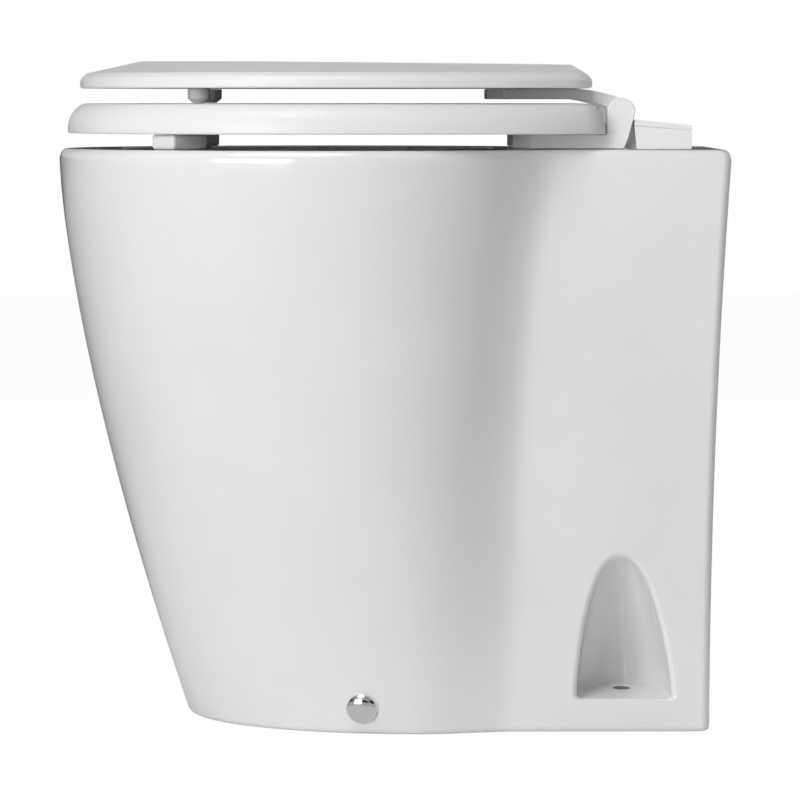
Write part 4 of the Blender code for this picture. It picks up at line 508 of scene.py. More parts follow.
def recess_tool(name, side):
    """The recess as arches that shrink inwards, rolled at the wall, over a ledge that rises inwards."""
    at_wall = RECESS_ROLL * (1 - math.sin(RECESS_ROLL_TURN))
    spread = 1 - math.cos(RECESS_ROLL_TURN) + RECESS_FLARE
    arches = [(-RECESS_RUN_OUT, rolled_arch(at_wall, spread))]
    for i in range(6, -1, -1):
        turn = RECESS_ROLL_TURN * i / 6
        inward = RECESS_ROLL * (1 - math.sin(turn))
        arches.append((inward, rolled_arch(inward, 1 - math.cos(turn))))
    for i in range(1, 13):
        inward = RECESS_ROLL + (RECESS_DEPTH * ALMOST_ALL - RECESS_ROLL) * math.sin(math.pi / 2 * i / 12)
        arches.append((inward, recess_arch(inward)))
    rings = []
    for inward, half in arches:
        line = [(across, height) for across, height in half]
        line += [(-across, height) for across, height in reversed(half[:-1])]
        ring = []
        for across, height in line:
            share = min(max((height - LEDGE_HEIGHT) / (RECESS_TOP - LEDGE_HEIGHT), 0), 1)
            y = RECESS_Y - RECESS_LEAN * share + across
            rise = LEDGE_RISE * max(inward, 0) * (1 - share) ** 2
            ring.append(Vector((side * (box_side(y) - inward), y, height + rise)))
        rings.append(ring)
    return raise_rings(name, rings)


def recess_shell(name, side):
    """The clay behind a recess, kept when the pedestal is hollowed."""
    rings = []
    foot = LEDGE_HEIGHT + RECESS_FOOT
    levels = [(0, -2 * OVERRUN)]
    for i in range(13):
        share = math.sin(math.pi / 2 * i / 12) * ALMOST_TOP
        levels.append((share, foot + (RECESS_TOP - foot) * share))
    for share, height in levels:
        half = RECESS_HALF_WIDTH * taper(share, RECESS_WIDTH_POWERS) + RECESS_WALL
        depth = RECESS_DEPTH * taper(share, RECESS_DEPTH_POWERS) + RECESS_WALL
        centre = RECESS_Y - RECESS_LEAN * share
        ring = [Vector((side * (BOX_HALF_WIDTH + OVERRUN), centre + way * half, height)) for way in (-1, 1)]
        for turn in [math.pi * i / 24 for i in range(25)]:
            x = BOX_HALF_WIDTH - depth * math.sin(turn)
            ring.append(Vector((side * x, centre + half * math.cos(turn), height + RECESS_WALL * share)))
        rings.append(ring)
    return raise_rings(name, rings)


def hollow_tool():
    """The pedestal's inside, less the bowl, the recess walls and the inlet boss."""
    underside = RIM_HEIGHT - DECK_THICKNESS
    rings = []
    for i in range(19):
        height = underside * i / 18
        half = pan_half_outline(height, WALL, HOLLOW_CORNER, FRONT_STEPS // 2, REAR_STEPS // 2)
        rings.append(mirrored_ring(half, height if i else -OVERRUN))
    hollow = raise_rings("pedestal_hollow", rings)
    boss = rod("inlet_boss", INLET_BOSS_RADIUS, (0, BOWL_CENTRE, INLET_Z), ALONG_Y,
               INLET_BOSS_FACE - BOWL_CENTRE)
    shells = [recess_shell("recess_shell_" + name, side) for name, side in SIDES.items()]
    return cut(hollow, [bowl_shell(), boss] + shells)


def service_tool():
    """The rounded opening in the back wall that leaves room for hose and cable."""
    right = (SERVICE_HALF_WIDTH - SERVICE_CORNER, SERVICE_HEIGHT - SERVICE_CORNER)
    left = (-right[0], right[1])
    outline = [(-SERVICE_HALF_WIDTH, -OVERRUN), (SERVICE_HALF_WIDTH, -OVERRUN)]
    outline += arc(right, SERVICE_CORNER, 0, math.pi / 2, 12)
    outline += arc(left, SERVICE_CORNER, math.pi / 2, math.pi, 12)
    ends = (HALF_LENGTH - 3 * WALL, HALF_LENGTH + OVERRUN)
    return raise_rings("service_tool", [[Vector((x, y, z)) for x, z in outline] for y in ends])


def give_finishes(piece, which):
    """Glaze outside, bare clay in the hollow and, in the bolt holes, clay painted dark as the shade inside
    them, by slot number.
    """
    for clay in (glazed_ceramic(), raw_clay(), stained_clay()):
        piece.data.materials.append(clay)
    for face in piece.data.polygons:
        face.material_index = which


def make_pan():
    pan = raise_rings("pan_casting", pan_rings())
    give_finishes(pan, 0)
    hollow = hollow_tool()
    give_finishes(hollow, 1)
    inlet_length = HALF_LENGTH - BOWL_CENTRE - 3 * WALL
    tools = [hollow, bowl_tool(), service_tool(),
             rod("inlet_hole", INLET_HOLE_RADIUS, (0, BOWL_CENTRE, INLET_Z), ALONG_Y, inlet_length, 48)]
    for name, side in SIDES.items():
        tools.append(recess_tool("recess_" + name, side))
        ledge = (side * LEDGE_HOLE_X, RECESS_Y, -OVERRUN)
        ledge_top = LEDGE_HEIGHT + LEDGE_RISE * RECESS_DEPTH
        bolt_hole = rod("ledge_hole_" + name, LEDGE_HOLE_RADIUS, ledge, UP, ledge_top + 2 * OVERRUN, 48)
        # Slot 2 paints the bolt hole's wall dark, as painted shade for the inside of the hole.
        give_finishes(bolt_hole, 2)
        tools.append(bolt_hole)
        bolt = middle("hinge_bolt_" + name)
        deck = (bolt.x, bolt.y, RIM_HEIGHT - DECK_THICKNESS - OVERRUN)
        tools.append(rod("deck_hole_" + name, DECK_HOLE_RADIUS, deck, UP, DECK_THICKNESS + 2 * OVERRUN, 48))
        surface, normal = skirt_point(side, *SIDE_SCREW_PLACE)
        tools.append(rod("side_hole_" + name, SIDE_HOLE_RADIUS, surface + normal * OVERRUN, -normal,
                         WALL + 2 * OVERRUN, 32))
    cut(pan, tools)
    finish_shading(pan, math.radians(40))
    return dress(pan, "pan_body", ["pan"])


# Seat ring and lid

def seat_half_outline(front, back, half_width, rear_curve, corner, inset, steps=FRONT_STEPS):
    """A half outline with a round front and a straight, round-cornered back edge.

    A few rounds find where the side ends so that the corner leaves it without a kink.
    """
    forward = WIDEST_AT_RIM - front - inset
    rear = rear_curve - inset
    wide = half_width - inset
    back = back - inset
    radius = max(corner - inset, 0.0003)
    start = back - radius
    for _ in range(8):
        reach = (start - WIDEST_AT_RIM) / rear
        side = wide * math.sqrt(1 - reach * reach)
        normal = math.atan2(reach / rear, side / wide / wide)
        start = back - radius * (1 - math.sin(normal))
    centre = (side - radius * math.cos(normal), start - radius * math.sin(normal))
    points = []
    for i in range(steps + 1):
        turn = math.pi / 2 * i / steps
        points.append((wide * math.sin(turn), WIDEST_AT_RIM - forward * math.cos(turn)))
    side_steps = steps // 2
    for i in range(1, side_steps):
        y = WIDEST_AT_RIM + (start - WIDEST_AT_RIM) * i / side_steps
        points.append((wide * math.sqrt(1 - ((y - WIDEST_AT_RIM) / rear) ** 2), y))
    points += arc(centre, radius, normal, math.pi / 2, CORNER_STEPS * 2)
    points.append((0, back))
    return points


def seat_hole_half_outline(grow, count):
    """The ring's opening, with as many points as the outline it is paired with."""
    centre = (SEAT_HOLE_FRONT + SEAT_HOLE_BACK) / 2
    reach = (SEAT_HOLE_BACK - SEAT_HOLE_FRONT) / 2 + grow
    wide = SEAT_HOLE_HALF_WIDTH + grow
    turns = [math.pi * i / (count - 1) for i in range(count)]
    return [(wide * math.sin(turn), centre - reach * math.cos(turn)) for turn in turns]


def bullnose(rounding, thickness, foot_round, steps):
    """Insets and heights up a rounded edge, from the underside to the top."""
    levels = []
    for i in range(5):
        turn = math.pi / 2 * i / 4
        levels.append((foot_round * (1 - math.sin(turn)), foot_round * (1 - math.cos(turn))))
    rise = thickness - foot_round
    for i in range(1, steps + 1):
        turn = math.pi / 2 * i / steps
        levels.append((rounding * (1 - math.cos(turn)), foot_round + rise * math.sin(turn)))
    return levels


def make_seat():
    thickness = SEAT_HIGH.z - SEAT_LOW.z
    size = (SEAT_LOW.y, SEAT_HIGH.y, SEAT_HIGH.x, SEAT_REAR_CURVE, SEAT_CORNER)
    outer = [(seat_half_outline(*size, inset), SEAT_LOW.z + rise)
             for inset, rise in bullnose(SEAT_ROUNDING, thickness, SEAT_FOOT_ROUND, 14)]
    count = len(outer[0][0])
    inner = [(seat_hole_half_outline(inset, count), SEAT_LOW.z + rise)
             for inset, rise in bullnose(SEAT_HOLE_ROUNDING, thickness, SEAT_FOOT_ROUND, 9)]
    seat = raise_rings("seat_ring", [mirrored_ring(half, z) for half, z in outer + inner[::-1]], loop=True)
    seat.data.materials.append(white_moulding())
    finish_shading(seat, math.radians(60))
    return dress(seat, "seat_body", ["seat"])


def lid_top(y):
    """Height of the lid's flat upper face, which falls slightly to the back."""
    return LID_LOW.z + LID_RISE - LID_TOP_FALL * (y - LID_LOW.y) / (LID_HIGH.y - LID_LOW.y)


def make_lid():
    size = (LID_LOW.y, LID_HIGH.y, LID_HIGH.x, LID_REAR_CURVE, LID_CORNER)
    soft = 0.3 * LID_FOOT_ROUND
    edge = [(LID_FOOT_ROUND, 0), (soft, soft), (0, LID_FOOT_ROUND), (0, LID_EDGE_HEIGHT / 2),
            (LID_EDGE_LEAN / 3, LID_EDGE_HEIGHT * 3 / 4), (LID_EDGE_LEAN, LID_EDGE_HEIGHT)]
    rings = [mirrored_ring(seat_half_outline(*size, inset), LID_LOW.z + rise) for inset, rise in edge]
    flat = (LID_LOW.y, LID_HIGH.y - LID_REAR_BEVEL + LID_BEVEL, LID_HIGH.x, LID_REAR_CURVE + LID_BEVEL,
            LID_CORNER + LID_BEVEL)
    inner = mirrored_ring(seat_half_outline(*flat, LID_BEVEL + LID_EDGE_LEAN), 0)
    rings.append([Vector((p.x, p.y, lid_top(p.y))) for p in inner])
    lid = raise_rings("lid_panel", rings)
    round_edges(lid, LID_BREAK, 5, math.radians(9))
    lid.data.materials.append(white_moulding())
    finish_shading(lid, math.radians(40))
    return dress(lid, "lid_body", ["lid"])


def dress(piece, body, nodes):
    """Hangs a finished piece on its body, in place of the solids it stands for."""
    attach(piece, body)
    if nodes:
        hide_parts(*nodes)
    return piece


# Finishes

def finish(name, color, roughness, metallic=0.0, **sockets):
    """A material with one shader, and the settings that are the same all over the surface."""
    mat = bpy.data.materials.new(name)
    mat.use_nodes = True
    shader = mat.node_tree.nodes["Principled BSDF"]
    shader.inputs["Base Color"].default_value = (*color, 1)
    shader.inputs["Roughness"].default_value = roughness
    shader.inputs["Metallic"].default_value = metallic
    for socket, value in sockets.items():
        shader.inputs[socket.replace("_", " ")].default_value = value
    mat.diffuse_color = (*color, 1)
    return mat, mat.node_tree, shader


def surface_place(tree, scale=(1, 1, 1)):
    """Where a point lies on the piece, stretched by a scale."""
    coordinates = tree.nodes.new("ShaderNodeTexCoord")
    mapping = tree.nodes.new("ShaderNodeMapping")
    mapping.inputs["Scale"].default_value = scale
    tree.links.new(coordinates.outputs["Object"], mapping.inputs["Vector"])
    return mapping.outputs["Vector"]


def speckle(tree, scale, detail=2.0, stretch=(1, 1, 1), roughness=0.5):
    """Uneven cloud or grain, finer as the scale grows."""
    noise = tree.nodes.new("ShaderNodeTexNoise")
    noise.inputs["Scale"].default_value = scale
    noise.inputs["Detail"].default_value = detail
    noise.inputs["Roughness"].default_value = roughness
    tree.links.new(surface_place(tree, stretch), noise.inputs["Vector"])
    return noise.outputs["Fac"]


def remap(tree, value, low, high, to_low, to_high):
    node = tree.nodes.new("ShaderNodeMapRange")
    node.inputs["From Min"].default_value = low
    node.inputs["From Max"].default_value = high
    node.inputs["To Min"].default_value = to_low
    node.inputs["To Max"].default_value = to_high
    tree.links.new(value, node.inputs["Value"])
    return node.outputs["Result"]


def vary_color(tree, shader, share, first, second):
    mix = tree.nodes.new("ShaderNodeMix")
    mix.data_type = "RGBA"
    mix.inputs["A"].default_value = (*first, 1)
    mix.inputs["B"].default_value = (*second, 1)
    tree.links.new(share, mix.inputs["Factor"])
    tree.links.new(mix.outputs["Result"], shader.inputs["Base Color"])


def vary_roughness(tree, shader, share, low, high):
    tree.links.new(remap(tree, share, 0.3, 0.7, low, high), shader.inputs["Roughness"])


def dent(tree, shader, heights, distance):
    """Bumps from several heights, one after the other."""
    normal = None
    for height, depth in heights:
        bump = tree.nodes.new("ShaderNodeBump")
        bump.inputs["Strength"].default_value = 1
        bump.inputs["Distance"].default_value = distance * depth
        tree.links.new(height, bump.inputs["Height"])
        if normal:
            tree.links.new(normal, bump.inputs["Normal"])
        normal = bump.outputs["Normal"]
    tree.links.new(normal, shader.inputs["Normal"])


def bands(tree, direction, scale, distortion):
    """Even bands across a surface, as of stacked sheets or wound wire."""
    wave = tree.nodes.new("ShaderNodeTexWave")
    wave.bands_direction = direction
    wave.inputs["Scale"].default_value = scale
    wave.inputs["Distortion"].default_value = distortion
    tree.links.new(surface_place(tree), wave.inputs["Vector"])
    return wave.outputs["Fac"]


MADE = {}


def once(make):
    """Keeps one copy of each finish."""
    def given():
        if make.__name__ not in MADE:
            MADE[make.__name__] = make()
        return MADE[make.__name__]
    return given


@once
def glazed_ceramic():
    mat, tree, shader = finish("glazed ceramic", (0.806, 0.807, 0.806), 0.10, Specular_IOR_Level=0.4,
                               Coat_Weight=0.6, Coat_Roughness=0.04, Coat_IOR=1.5)
    cloud = remap(tree, speckle(tree, 9, 3), 0.35, 0.65, 0, 1)
    vary_color(tree, shader, cloud, (0.792, 0.793, 0.792), (0.820, 0.821, 0.820))
    vary_roughness(tree, shader, speckle(tree, 40, 4), 0.08, 0.15)
    dent(tree, shader, [(speckle(tree, 14, 1), 1.0), (speckle(tree, 420, 2), 0.012)], 0.0006)
    return mat


@once
def raw_clay():
    mat, tree, shader = finish("unglazed clay", (0.70, 0.68, 0.64), 0.9, Specular_IOR_Level=0.2)
    cloud = speckle(tree, 30, 6, roughness=0.65)
    vary_color(tree, shader, cloud, (0.60, 0.58, 0.54), (0.76, 0.74, 0.70))
    dent(tree, shader, [(speckle(tree, 900, 3), 0.5), (speckle(tree, 60, 3), 1.0)], 0.0006)
    return mat


# Painted shade: a dark clay on the bolt holes' walls, standing in for the shade down inside them.
@once
def stained_clay():
    mat, tree, shader = finish("clay painted dark for shade", (0.30, 0.28, 0.25), 0.85, Specular_IOR_Level=0.2)
    cloud = speckle(tree, 60, 6, roughness=0.65)
    vary_color(tree, shader, cloud, (0.24, 0.22, 0.20), (0.38, 0.36, 0.33))
    dent(tree, shader, [(speckle(tree, 900, 3), 1.0)], 0.0003)
    return mat


@once
def white_moulding():
    mat, tree, shader = finish("white moulding", (0.785, 0.787, 0.786), 0.31, Specular_IOR_Level=0.27)
    cloud = speckle(tree, 7, 2)
    share = remap(tree, cloud, 0.3, 0.7, 0, 1)
    vary_color(tree, shader, share, (0.775, 0.777, 0.776), (0.795, 0.797, 0.796))
    vary_roughness(tree, shader, cloud, 0.29, 0.34)
    dent(tree, shader, [(speckle(tree, 900, 1), 1.0)], 0.000008)
    return mat


@once
def hinge_plastic():
    mat, tree, shader = finish("hinge plastic", (0.865, 0.86, 0.855), 0.34)
    cloud = speckle(tree, 30, 4)
    vary_color(tree, shader, cloud, (0.845, 0.84, 0.835), (0.885, 0.88, 0.875))
    vary_roughness(tree, shader, speckle(tree, 160, 5), 0.26, 0.44)
    dent(tree, shader, [(speckle(tree, 2200, 2), 1.0)], 0.00003)
    return mat


@once
def buffer_plastic():
    mat, tree, shader = finish("buffer plastic", (0.88, 0.88, 0.875), 0.45)
    cloud = speckle(tree, 60, 4)
    vary_color(tree, shader, cloud, (0.86, 0.86, 0.855), (0.90, 0.90, 0.895))
    vary_roughness(tree, shader, speckle(tree, 200, 5), 0.35, 0.55)
    dent(tree, shader, [(speckle(tree, 1800, 2), 1.0)], 0.00004)
    return mat


@once
def chrome():
    mat, tree, shader = finish("chrome", (0.86, 0.865, 0.88), 0.12, 1.0)
    wear = speckle(tree, 300, 6)
    vary_roughness(tree, shader, wear, 0.09, 0.16)
    vary_color(tree, shader, speckle(tree, 120, 4), (0.83, 0.835, 0.85), (0.89, 0.895, 0.905))
    dent(tree, shader, [(speckle(tree, 160, 2), 1.0)], 0.00002)
    return mat


@once
def stainless_steel():
    mat, tree, shader = finish("stainless steel", (0.60, 0.60, 0.61), 0.28, 1.0, Anisotropic=0.35)
    brushed = speckle(tree, 260, 5, (1, 14, 14))
    vary_color(tree, shader, brushed, (0.52, 0.52, 0.53), (0.67, 0.67, 0.68))
    vary_roughness(tree, shader, brushed, 0.20, 0.40)
    dent(tree, shader, [(brushed, 1.0)], 0.00004)
    return mat


@once
def black_rubber():
    mat, tree, shader = finish("black rubber", (0.028, 0.028, 0.03), 0.75, Specular_IOR_Level=0.3)
    dust = speckle(tree, 90, 6, roughness=0.7)
    vary_color(tree, shader, dust, (0.022, 0.022, 0.024), (0.06, 0.06, 0.058))
    vary_roughness(tree, shader, dust, 0.62, 0.86)
    dent(tree, shader, [(speckle(tree, 1300, 3), 1.0)], 0.00008)
    return mat


@once
def black_plastic():
    mat, tree, shader = finish("black plastic", (0.045, 0.046, 0.05), 0.42)
    cloud = speckle(tree, 50, 5)
    vary_color(tree, shader, cloud, (0.035, 0.036, 0.04), (0.065, 0.066, 0.07))
    vary_roughness(tree, shader, speckle(tree, 240, 4), 0.34, 0.54)
    dent(tree, shader, [(speckle(tree, 1600, 2), 1.0), (speckle(tree, 40, 2), 1.2)], 0.00008)
    return mat


@once
def grey_pipe():
    mat, tree, shader = finish("grey pipe", (0.43, 0.44, 0.46), 0.38)
    flow = speckle(tree, 26, 4, (1, 1, 2.5))
    vary_color(tree, shader, flow, (0.40, 0.41, 0.43), (0.47, 0.48, 0.50))
    vary_roughness(tree, shader, speckle(tree, 180, 5), 0.30, 0.50)
    dent(tree, shader, [(speckle(tree, 70, 2), 1.0), (speckle(tree, 1500, 2), 0.2)], 0.0002)
    return mat


@once
def motor_paint():
    mat, tree, shader = finish("motor paint", (0.10, 0.11, 0.125), 0.4, Coat_Weight=0.3, Coat_Roughness=0.2)
    cloud = speckle(tree, 35, 5)
    vary_color(tree, shader, cloud, (0.085, 0.092, 0.105), (0.125, 0.135, 0.15))
    vary_roughness(tree, shader, speckle(tree, 140, 4), 0.32, 0.5)
    dent(tree, shader, [(speckle(tree, 420, 1), 1.0)], 0.00015)
    return mat


@once
def motor_iron():
    mat, tree, shader = finish("motor iron", (0.26, 0.255, 0.25), 0.5, 0.85)
    sheets = bands(tree, "Y", 320, 0.4)
    rust = speckle(tree, 45, 6, roughness=0.65)
    vary_color(tree, shader, remap(tree, rust, 0.45, 0.75, 0, 1), (0.27, 0.265, 0.26), (0.20, 0.14, 0.10))
    vary_roughness(tree, shader, rust, 0.38, 0.66)
    dent(tree, shader, [(sheets, 1.0)], 0.00012)
    return mat


@once
def copper():
    mat, tree, shader = finish("copper", (0.72, 0.40, 0.24), 0.34, 0.95)
    turns = bands(tree, "Z", 330, 0.3)
    shade = speckle(tree, 90, 4)
    vary_color(tree, shader, shade, (0.60, 0.30, 0.17), (0.78, 0.46, 0.28))
    vary_roughness(tree, shader, shade, 0.26, 0.44)
    dent(tree, shader, [(turns, 1.0)], 0.0003)
    return mat


@once
def bracket_nylon():
    mat, tree, shader = finish("bracket nylon", (0.76, 0.755, 0.72), 0.5, Subsurface_Weight=0.05)
    cloud = speckle(tree, 50, 4)
    vary_color(tree, shader, cloud, (0.72, 0.715, 0.68), (0.80, 0.795, 0.765))
    vary_roughness(tree, shader, speckle(tree, 220, 4), 0.40, 0.60)
    dent(tree, shader, [(speckle(tree, 1200, 2), 1.0)], 0.00005)
    return mat


# The finish of each material slot in the record
FINISHES = {
    "glazed_ceramic": glazed_ceramic,
    "white_moulding": white_moulding,
    "hinge_plastic": hinge_plastic,
    "buffer_plastic": buffer_plastic,
    "chrome": chrome,
    "stainless_steel": stainless_steel,
    "black_rubber": black_rubber,
    "black_plastic": black_plastic,
    "grey_pipe": grey_pipe,
    "motor_paint": motor_paint,
    "motor_iron": motor_iron,
    "copper": copper,
    "bracket_nylon": bracket_nylon,
}


# Floor, light and camera

CAMERA_PLACE = (3.2, 0.0075, 0.4672)
CAMERA_AIM = (0, 0.0075, 0.2376)
LENS = 189.3
SENSOR = 36.0
LAMP_AIM = (0, 0, 0.25)

# Brightness of the world: for the object, as seen, and as mirrored by the share of height in each direction
ROOM_LIGHT = 0.08
WORLD_WHITE = 0.99
SKY_BEHIND_CAMERA = ((0, 0.42), (0.17, 0.42), (0.22, 0.01), (0.46, 0.01), (0.56, 0.30))
SKY_BEHIND_OBJECT = ((0, 0.01), (0.03, 0.01), (0.10, 0.40), (0.50, 0.01))
SKY_TURN = 0.2

# The floor, which mirrors see fall from its first brightness to its second between two distances
FLOOR_SIZE = 14
FLOOR_DROP = 0.0002
FLOOR_COLOR = (0.80, 0.80, 0.80)
FLOOR_GLOW = 0.975
FLOOR_POOL = (0.30, 0.90)
FLOOR_MIRRORED = (0.52, 0.18)


def larger(tree, first, second):
    """The larger of two values."""
    node = tree.nodes.new("ShaderNodeMath")
    node.operation = "MAXIMUM"
    tree.links.new(first, node.inputs[0])
    tree.links.new(second, node.inputs[1])
    return node.outputs["Value"]


def between(tree, share, first, second):
    """The first value where the share is 0 and the second where it is 1; either may be a socket."""
    mix = tree.nodes.new("ShaderNodeMix")
    tree.links.new(share, mix.inputs["Factor"])
    for name, value in (("A", first), ("B", second)):
        if isinstance(value, (int, float)):
            mix.inputs[name].default_value = value
        else:
            tree.links.new(value, mix.inputs[name])
    return mix.outputs["Result"]


def grey_ramp(tree, value, stops):
    """A grey that runs through the stops, each a place and its brightness."""
    node = tree.nodes.new("ShaderNodeValToRGB")
    elements = node.color_ramp.elements
    elements.remove(elements[1])
    for i, (place, grey) in enumerate(stops):
        stop = elements.new(place) if i else elements[0]
        stop.position = place
        stop.color = (grey, grey, grey, 1)
    tree.links.new(value, node.inputs["Fac"])
    return node.outputs["Color"]


def make_world():
    """White as seen, an even light for the object, and for mirrors a studio in bands of grey."""
    world = bpy.data.worlds.new("studio")
    world.use_nodes = True
    tree = world.node_tree
    tree.nodes.clear()
    way = tree.nodes.new("ShaderNodeTexCoord")
    split = tree.nodes.new("ShaderNodeSeparateXYZ")
    tree.links.new(way.outputs["Generated"], split.inputs["Vector"])
    behind_object = grey_ramp(tree, split.outputs["Z"], SKY_BEHIND_OBJECT)
    behind_camera = grey_ramp(tree, split.outputs["Z"], SKY_BEHIND_CAMERA)
    side = remap(tree, split.outputs["X"], -SKY_TURN, SKY_TURN, 0, 1)
    sky = between(tree, side, behind_object, behind_camera)
    path = tree.nodes.new("ShaderNodeLightPath")
    unseen = between(tree, path.outputs["Is Glossy Ray"], ROOM_LIGHT, sky)
    seen = larger(tree, path.outputs["Is Camera Ray"], path.outputs["Is Transmission Ray"])
    strength = between(tree, seen, unseen, WORLD_WHITE)
    light = tree.nodes.new("ShaderNodeBackground")
    light.inputs["Color"].default_value = (1, 1, 1, 1)
    tree.links.new(strength, light.inputs["Strength"])
    out = tree.nodes.new("ShaderNodeOutputWorld")
    tree.links.new(light.outputs["Background"], out.inputs["Surface"])
    bpy.context.scene.world = world


def make_floor():
    """A pale floor that holds the shadow, lit up almost to white where the camera sees it."""
    bpy.ops.mesh.primitive_plane_add(size=FLOOR_SIZE, location=(0, 0, -FLOOR_DROP))
    floor = new_piece("floor")
    apply_place(floor)
    mat = bpy.data.materials.new("pale floor")
    mat.use_nodes = True
    tree = mat.node_tree
    shader = tree.nodes["Principled BSDF"]
    shader.inputs["Base Color"].default_value = (*FLOOR_COLOR, 1)
    shader.inputs["Roughness"].default_value = 0.9
    shader.inputs["Specular IOR Level"].default_value = 0.0
    glow = tree.nodes.new("ShaderNodeEmission")
    glow.inputs["Color"].default_value = (1, 1, 1, 1)
    path = tree.nodes.new("ShaderNodeLightPath")
    coords = tree.nodes.new("ShaderNodeTexCoord")
    apart = tree.nodes.new("ShaderNodeVectorMath")
    apart.operation = "LENGTH"
    tree.links.new(coords.outputs["Object"], apart.inputs[0])
    mirrored = remap(tree, apart.outputs["Value"], *FLOOR_POOL, *FLOOR_MIRRORED)
    strength = between(tree, path.outputs["Is Glossy Ray"], 1, mirrored)
    seen = remap(tree, path.outputs["Is Camera Ray"], 0, 1, 0, FLOOR_GLOW)
    tree.links.new(strength, glow.inputs["Strength"])
    mix = tree.nodes.new("ShaderNodeMixShader")
    tree.links.new(larger(tree, seen, path.outputs["Is Glossy Ray"]), mix.inputs["Fac"])
    tree.links.new(shader.outputs["BSDF"], mix.inputs[1])
    tree.links.new(glow.outputs["Emission"], mix.inputs[2])
    tree.links.new(mix.outputs["Shader"], tree.nodes["Material Output"].inputs["Surface"])
    floor.data.materials.append(mat)


def aimed(place, aim):
    """The turn that points a lamp or camera from its place to its aim."""
    return (Vector(aim) - Vector(place)).to_track_quat("-Z", "Y").to_euler()


def area_lamp(name, place, size, power, mirrored=True):
    lamp = bpy.data.lights.new(name, "AREA")
    lamp.shape = "RECTANGLE"
    lamp.size = size[0]
    lamp.size_y = size[1]
    lamp.energy = power
    obj = bpy.data.objects.new(name, lamp)
    bpy.context.scene.collection.objects.link(obj)
    obj.location = place
    obj.rotation_euler = aimed(place, LAMP_AIM)
    obj.visible_glossy = mirrored


def make_camera():
    lens = bpy.data.cameras.new("camera")
    lens.lens = LENS
    lens.sensor_width = SENSOR
    lens.clip_end = 50
    camera = bpy.data.objects.new("camera", lens)
    bpy.context.scene.collection.objects.link(camera)
    camera.location = CAMERA_PLACE
    camera.rotation_euler = aimed(CAMERA_PLACE, CAMERA_AIM)
    bpy.context.scene.camera = camera


make_camera()
make_world()
make_floor()
area_lamp("key", (2.6, -1.5, 0.90), (1.6, 1.3), 48.5)
area_lamp("top", (1.2, -0.6, 2.8), (1.5, 1.5), 38)
area_lamp("back", (-1.9, 2.4, 1.3), (1.4, 0.8), 45, mirrored=False)
area_lamp("far side", (-2.9, 0.3, 1.3), (1.4, 0.8), 40, mirrored=False)
bpy.context.scene.view_settings.view_transform = "Standard"

make_pan()
make_seat()
make_lid()


# Helpers for the smaller pieces

def complete(piece, node, body, edge=0.0, segments=3, shading=SHARP):
    """Rounds the edges, gives the finish of the solid's slot and hangs the piece in its place."""
    slot = NODES[node].data.materials[0].name.split(".")[0]
    if edge:
        round_edges(piece, edge, segments)
    piece.data.materials.clear()
    piece.data.materials.append(FINISHES[slot]())
    finish_shading(piece, shading)
    return dress(piece, body, [node])


def side_plate(name, outline, x, width):
    """A plate of even width, whose outline is seen from the side."""
    faces = (x - width / 2, x + width / 2)
    return raise_rings(name, [[Vector((face, y, z)) for y, z in outline] for face in faces])


def box_piece(name, low, high):
    """A plain block, to be turned, rounded, joined on or cut away."""
    low, high = Vector(low), Vector(high)
    bpy.ops.mesh.primitive_cube_add(size=1, location=(low + high) / 2)
    obj = new_piece(name)
    obj.scale = high - low
    return apply_place(obj)


def from_solid(node, name):
    """A copy of a solid's faces, made whole and cleared of the lines across its flat faces."""
    source = NODES[node]
    obj = bpy.data.objects.new(name, source.data.copy())
    bpy.context.scene.collection.objects.link(obj)
    obj.matrix_world = source.matrix_world.copy()
    apply_place(obj)
    edit(obj, "SELECT")
    bpy.ops.mesh.remove_doubles(threshold=2 * WELD)
    bpy.ops.mesh.dissolve_limited(angle_limit=math.radians(1))
    bpy.ops.mesh.select_all(action="SELECT")
    bpy.ops.mesh.normals_make_consistent(inside=False)
    object_mode()
    return obj


def pin_profile(radius, start, end, edge):
    """A round pin's profile, with its edge taken off at both ends."""
    return [(0, start), (radius - edge, start), (radius, start + edge), (radius, end - edge),
            (radius - edge, end), (0, end)]


def pipe(name, points, radii, walls, steps=56):
    """A bent pipe whose middle line lies in the YZ plane, drawn up outside and back down inside."""
    outer = []
    inner = []
    for i, point in enumerate(points):
        ahead = Vector(points[min(i + 1, len(points) - 1)]) - Vector(points[max(i - 1, 0)])
        across = Vector((0, -ahead.z, ahead.y)).normalized()
        turns = [2 * math.pi * k / steps for k in range(steps)]
        spokes = [ALONG_X * math.cos(t) + across * math.sin(t) for t in turns]
        for rings, radius in ((outer, radii[i]), (inner, radii[i] - walls)):
            rings.append([Vector(point) + out * radius for out in spokes])
    return raise_rings(name, outer + inner[::-1], True)


# Hinges

HINGE = middle("hinge_pin_right")
HEAD_RADIUS = 0.0104
LUG_HEAD_RADIUS = 0.0095
PIN_ROOM = 0.0040
ARM_WIDTH = 0.014
LUG_WIDTH = 0.010
SEAT_ARM_REACH = 0.0801
SEAT_ARM_CHAMFER = 0.0145
LID_ARM_REACH = 0.0983
LID_ARM_STRAIGHT = 0.036
LID_ARM_CHAMFER = 0.012
LID_ARM_LEG = 0.0078
LID_ARM_DROP = 0.0062
BLOCK_WIDTH = 0.034
BLOCK_LEAN = 0.0018
BLOCK_FALL = 0.0041
LUG_FOOT = 0.005
UPRIGHT_BACK = (0.0022, 0.0052, 0.0196)
LID_HEAD_TURN = (math.radians(84), math.radians(-170))
LUG_HEAD_TURN = math.radians(205)
BOLT_RADIUS = 0.004
BOLT_HEAD_RADIUS = 0.0070
BOLT_HEAD_EDGE = 0.0006
BOLT_PITCH = 0.00125
BOLT_PLAIN_LENGTH = BOLT_PITCH * 6
BOLT_TIP = 0.001
BOLT_SOCKET_RADIUS = 0.0034
BOLT_SOCKET_DEPTH = 0.0028
BOLT_WELL_RADIUS = 0.0088
BOLT_SEAT_HEIGHT = 0.0075
THREAD_DEPTH = 0.0006
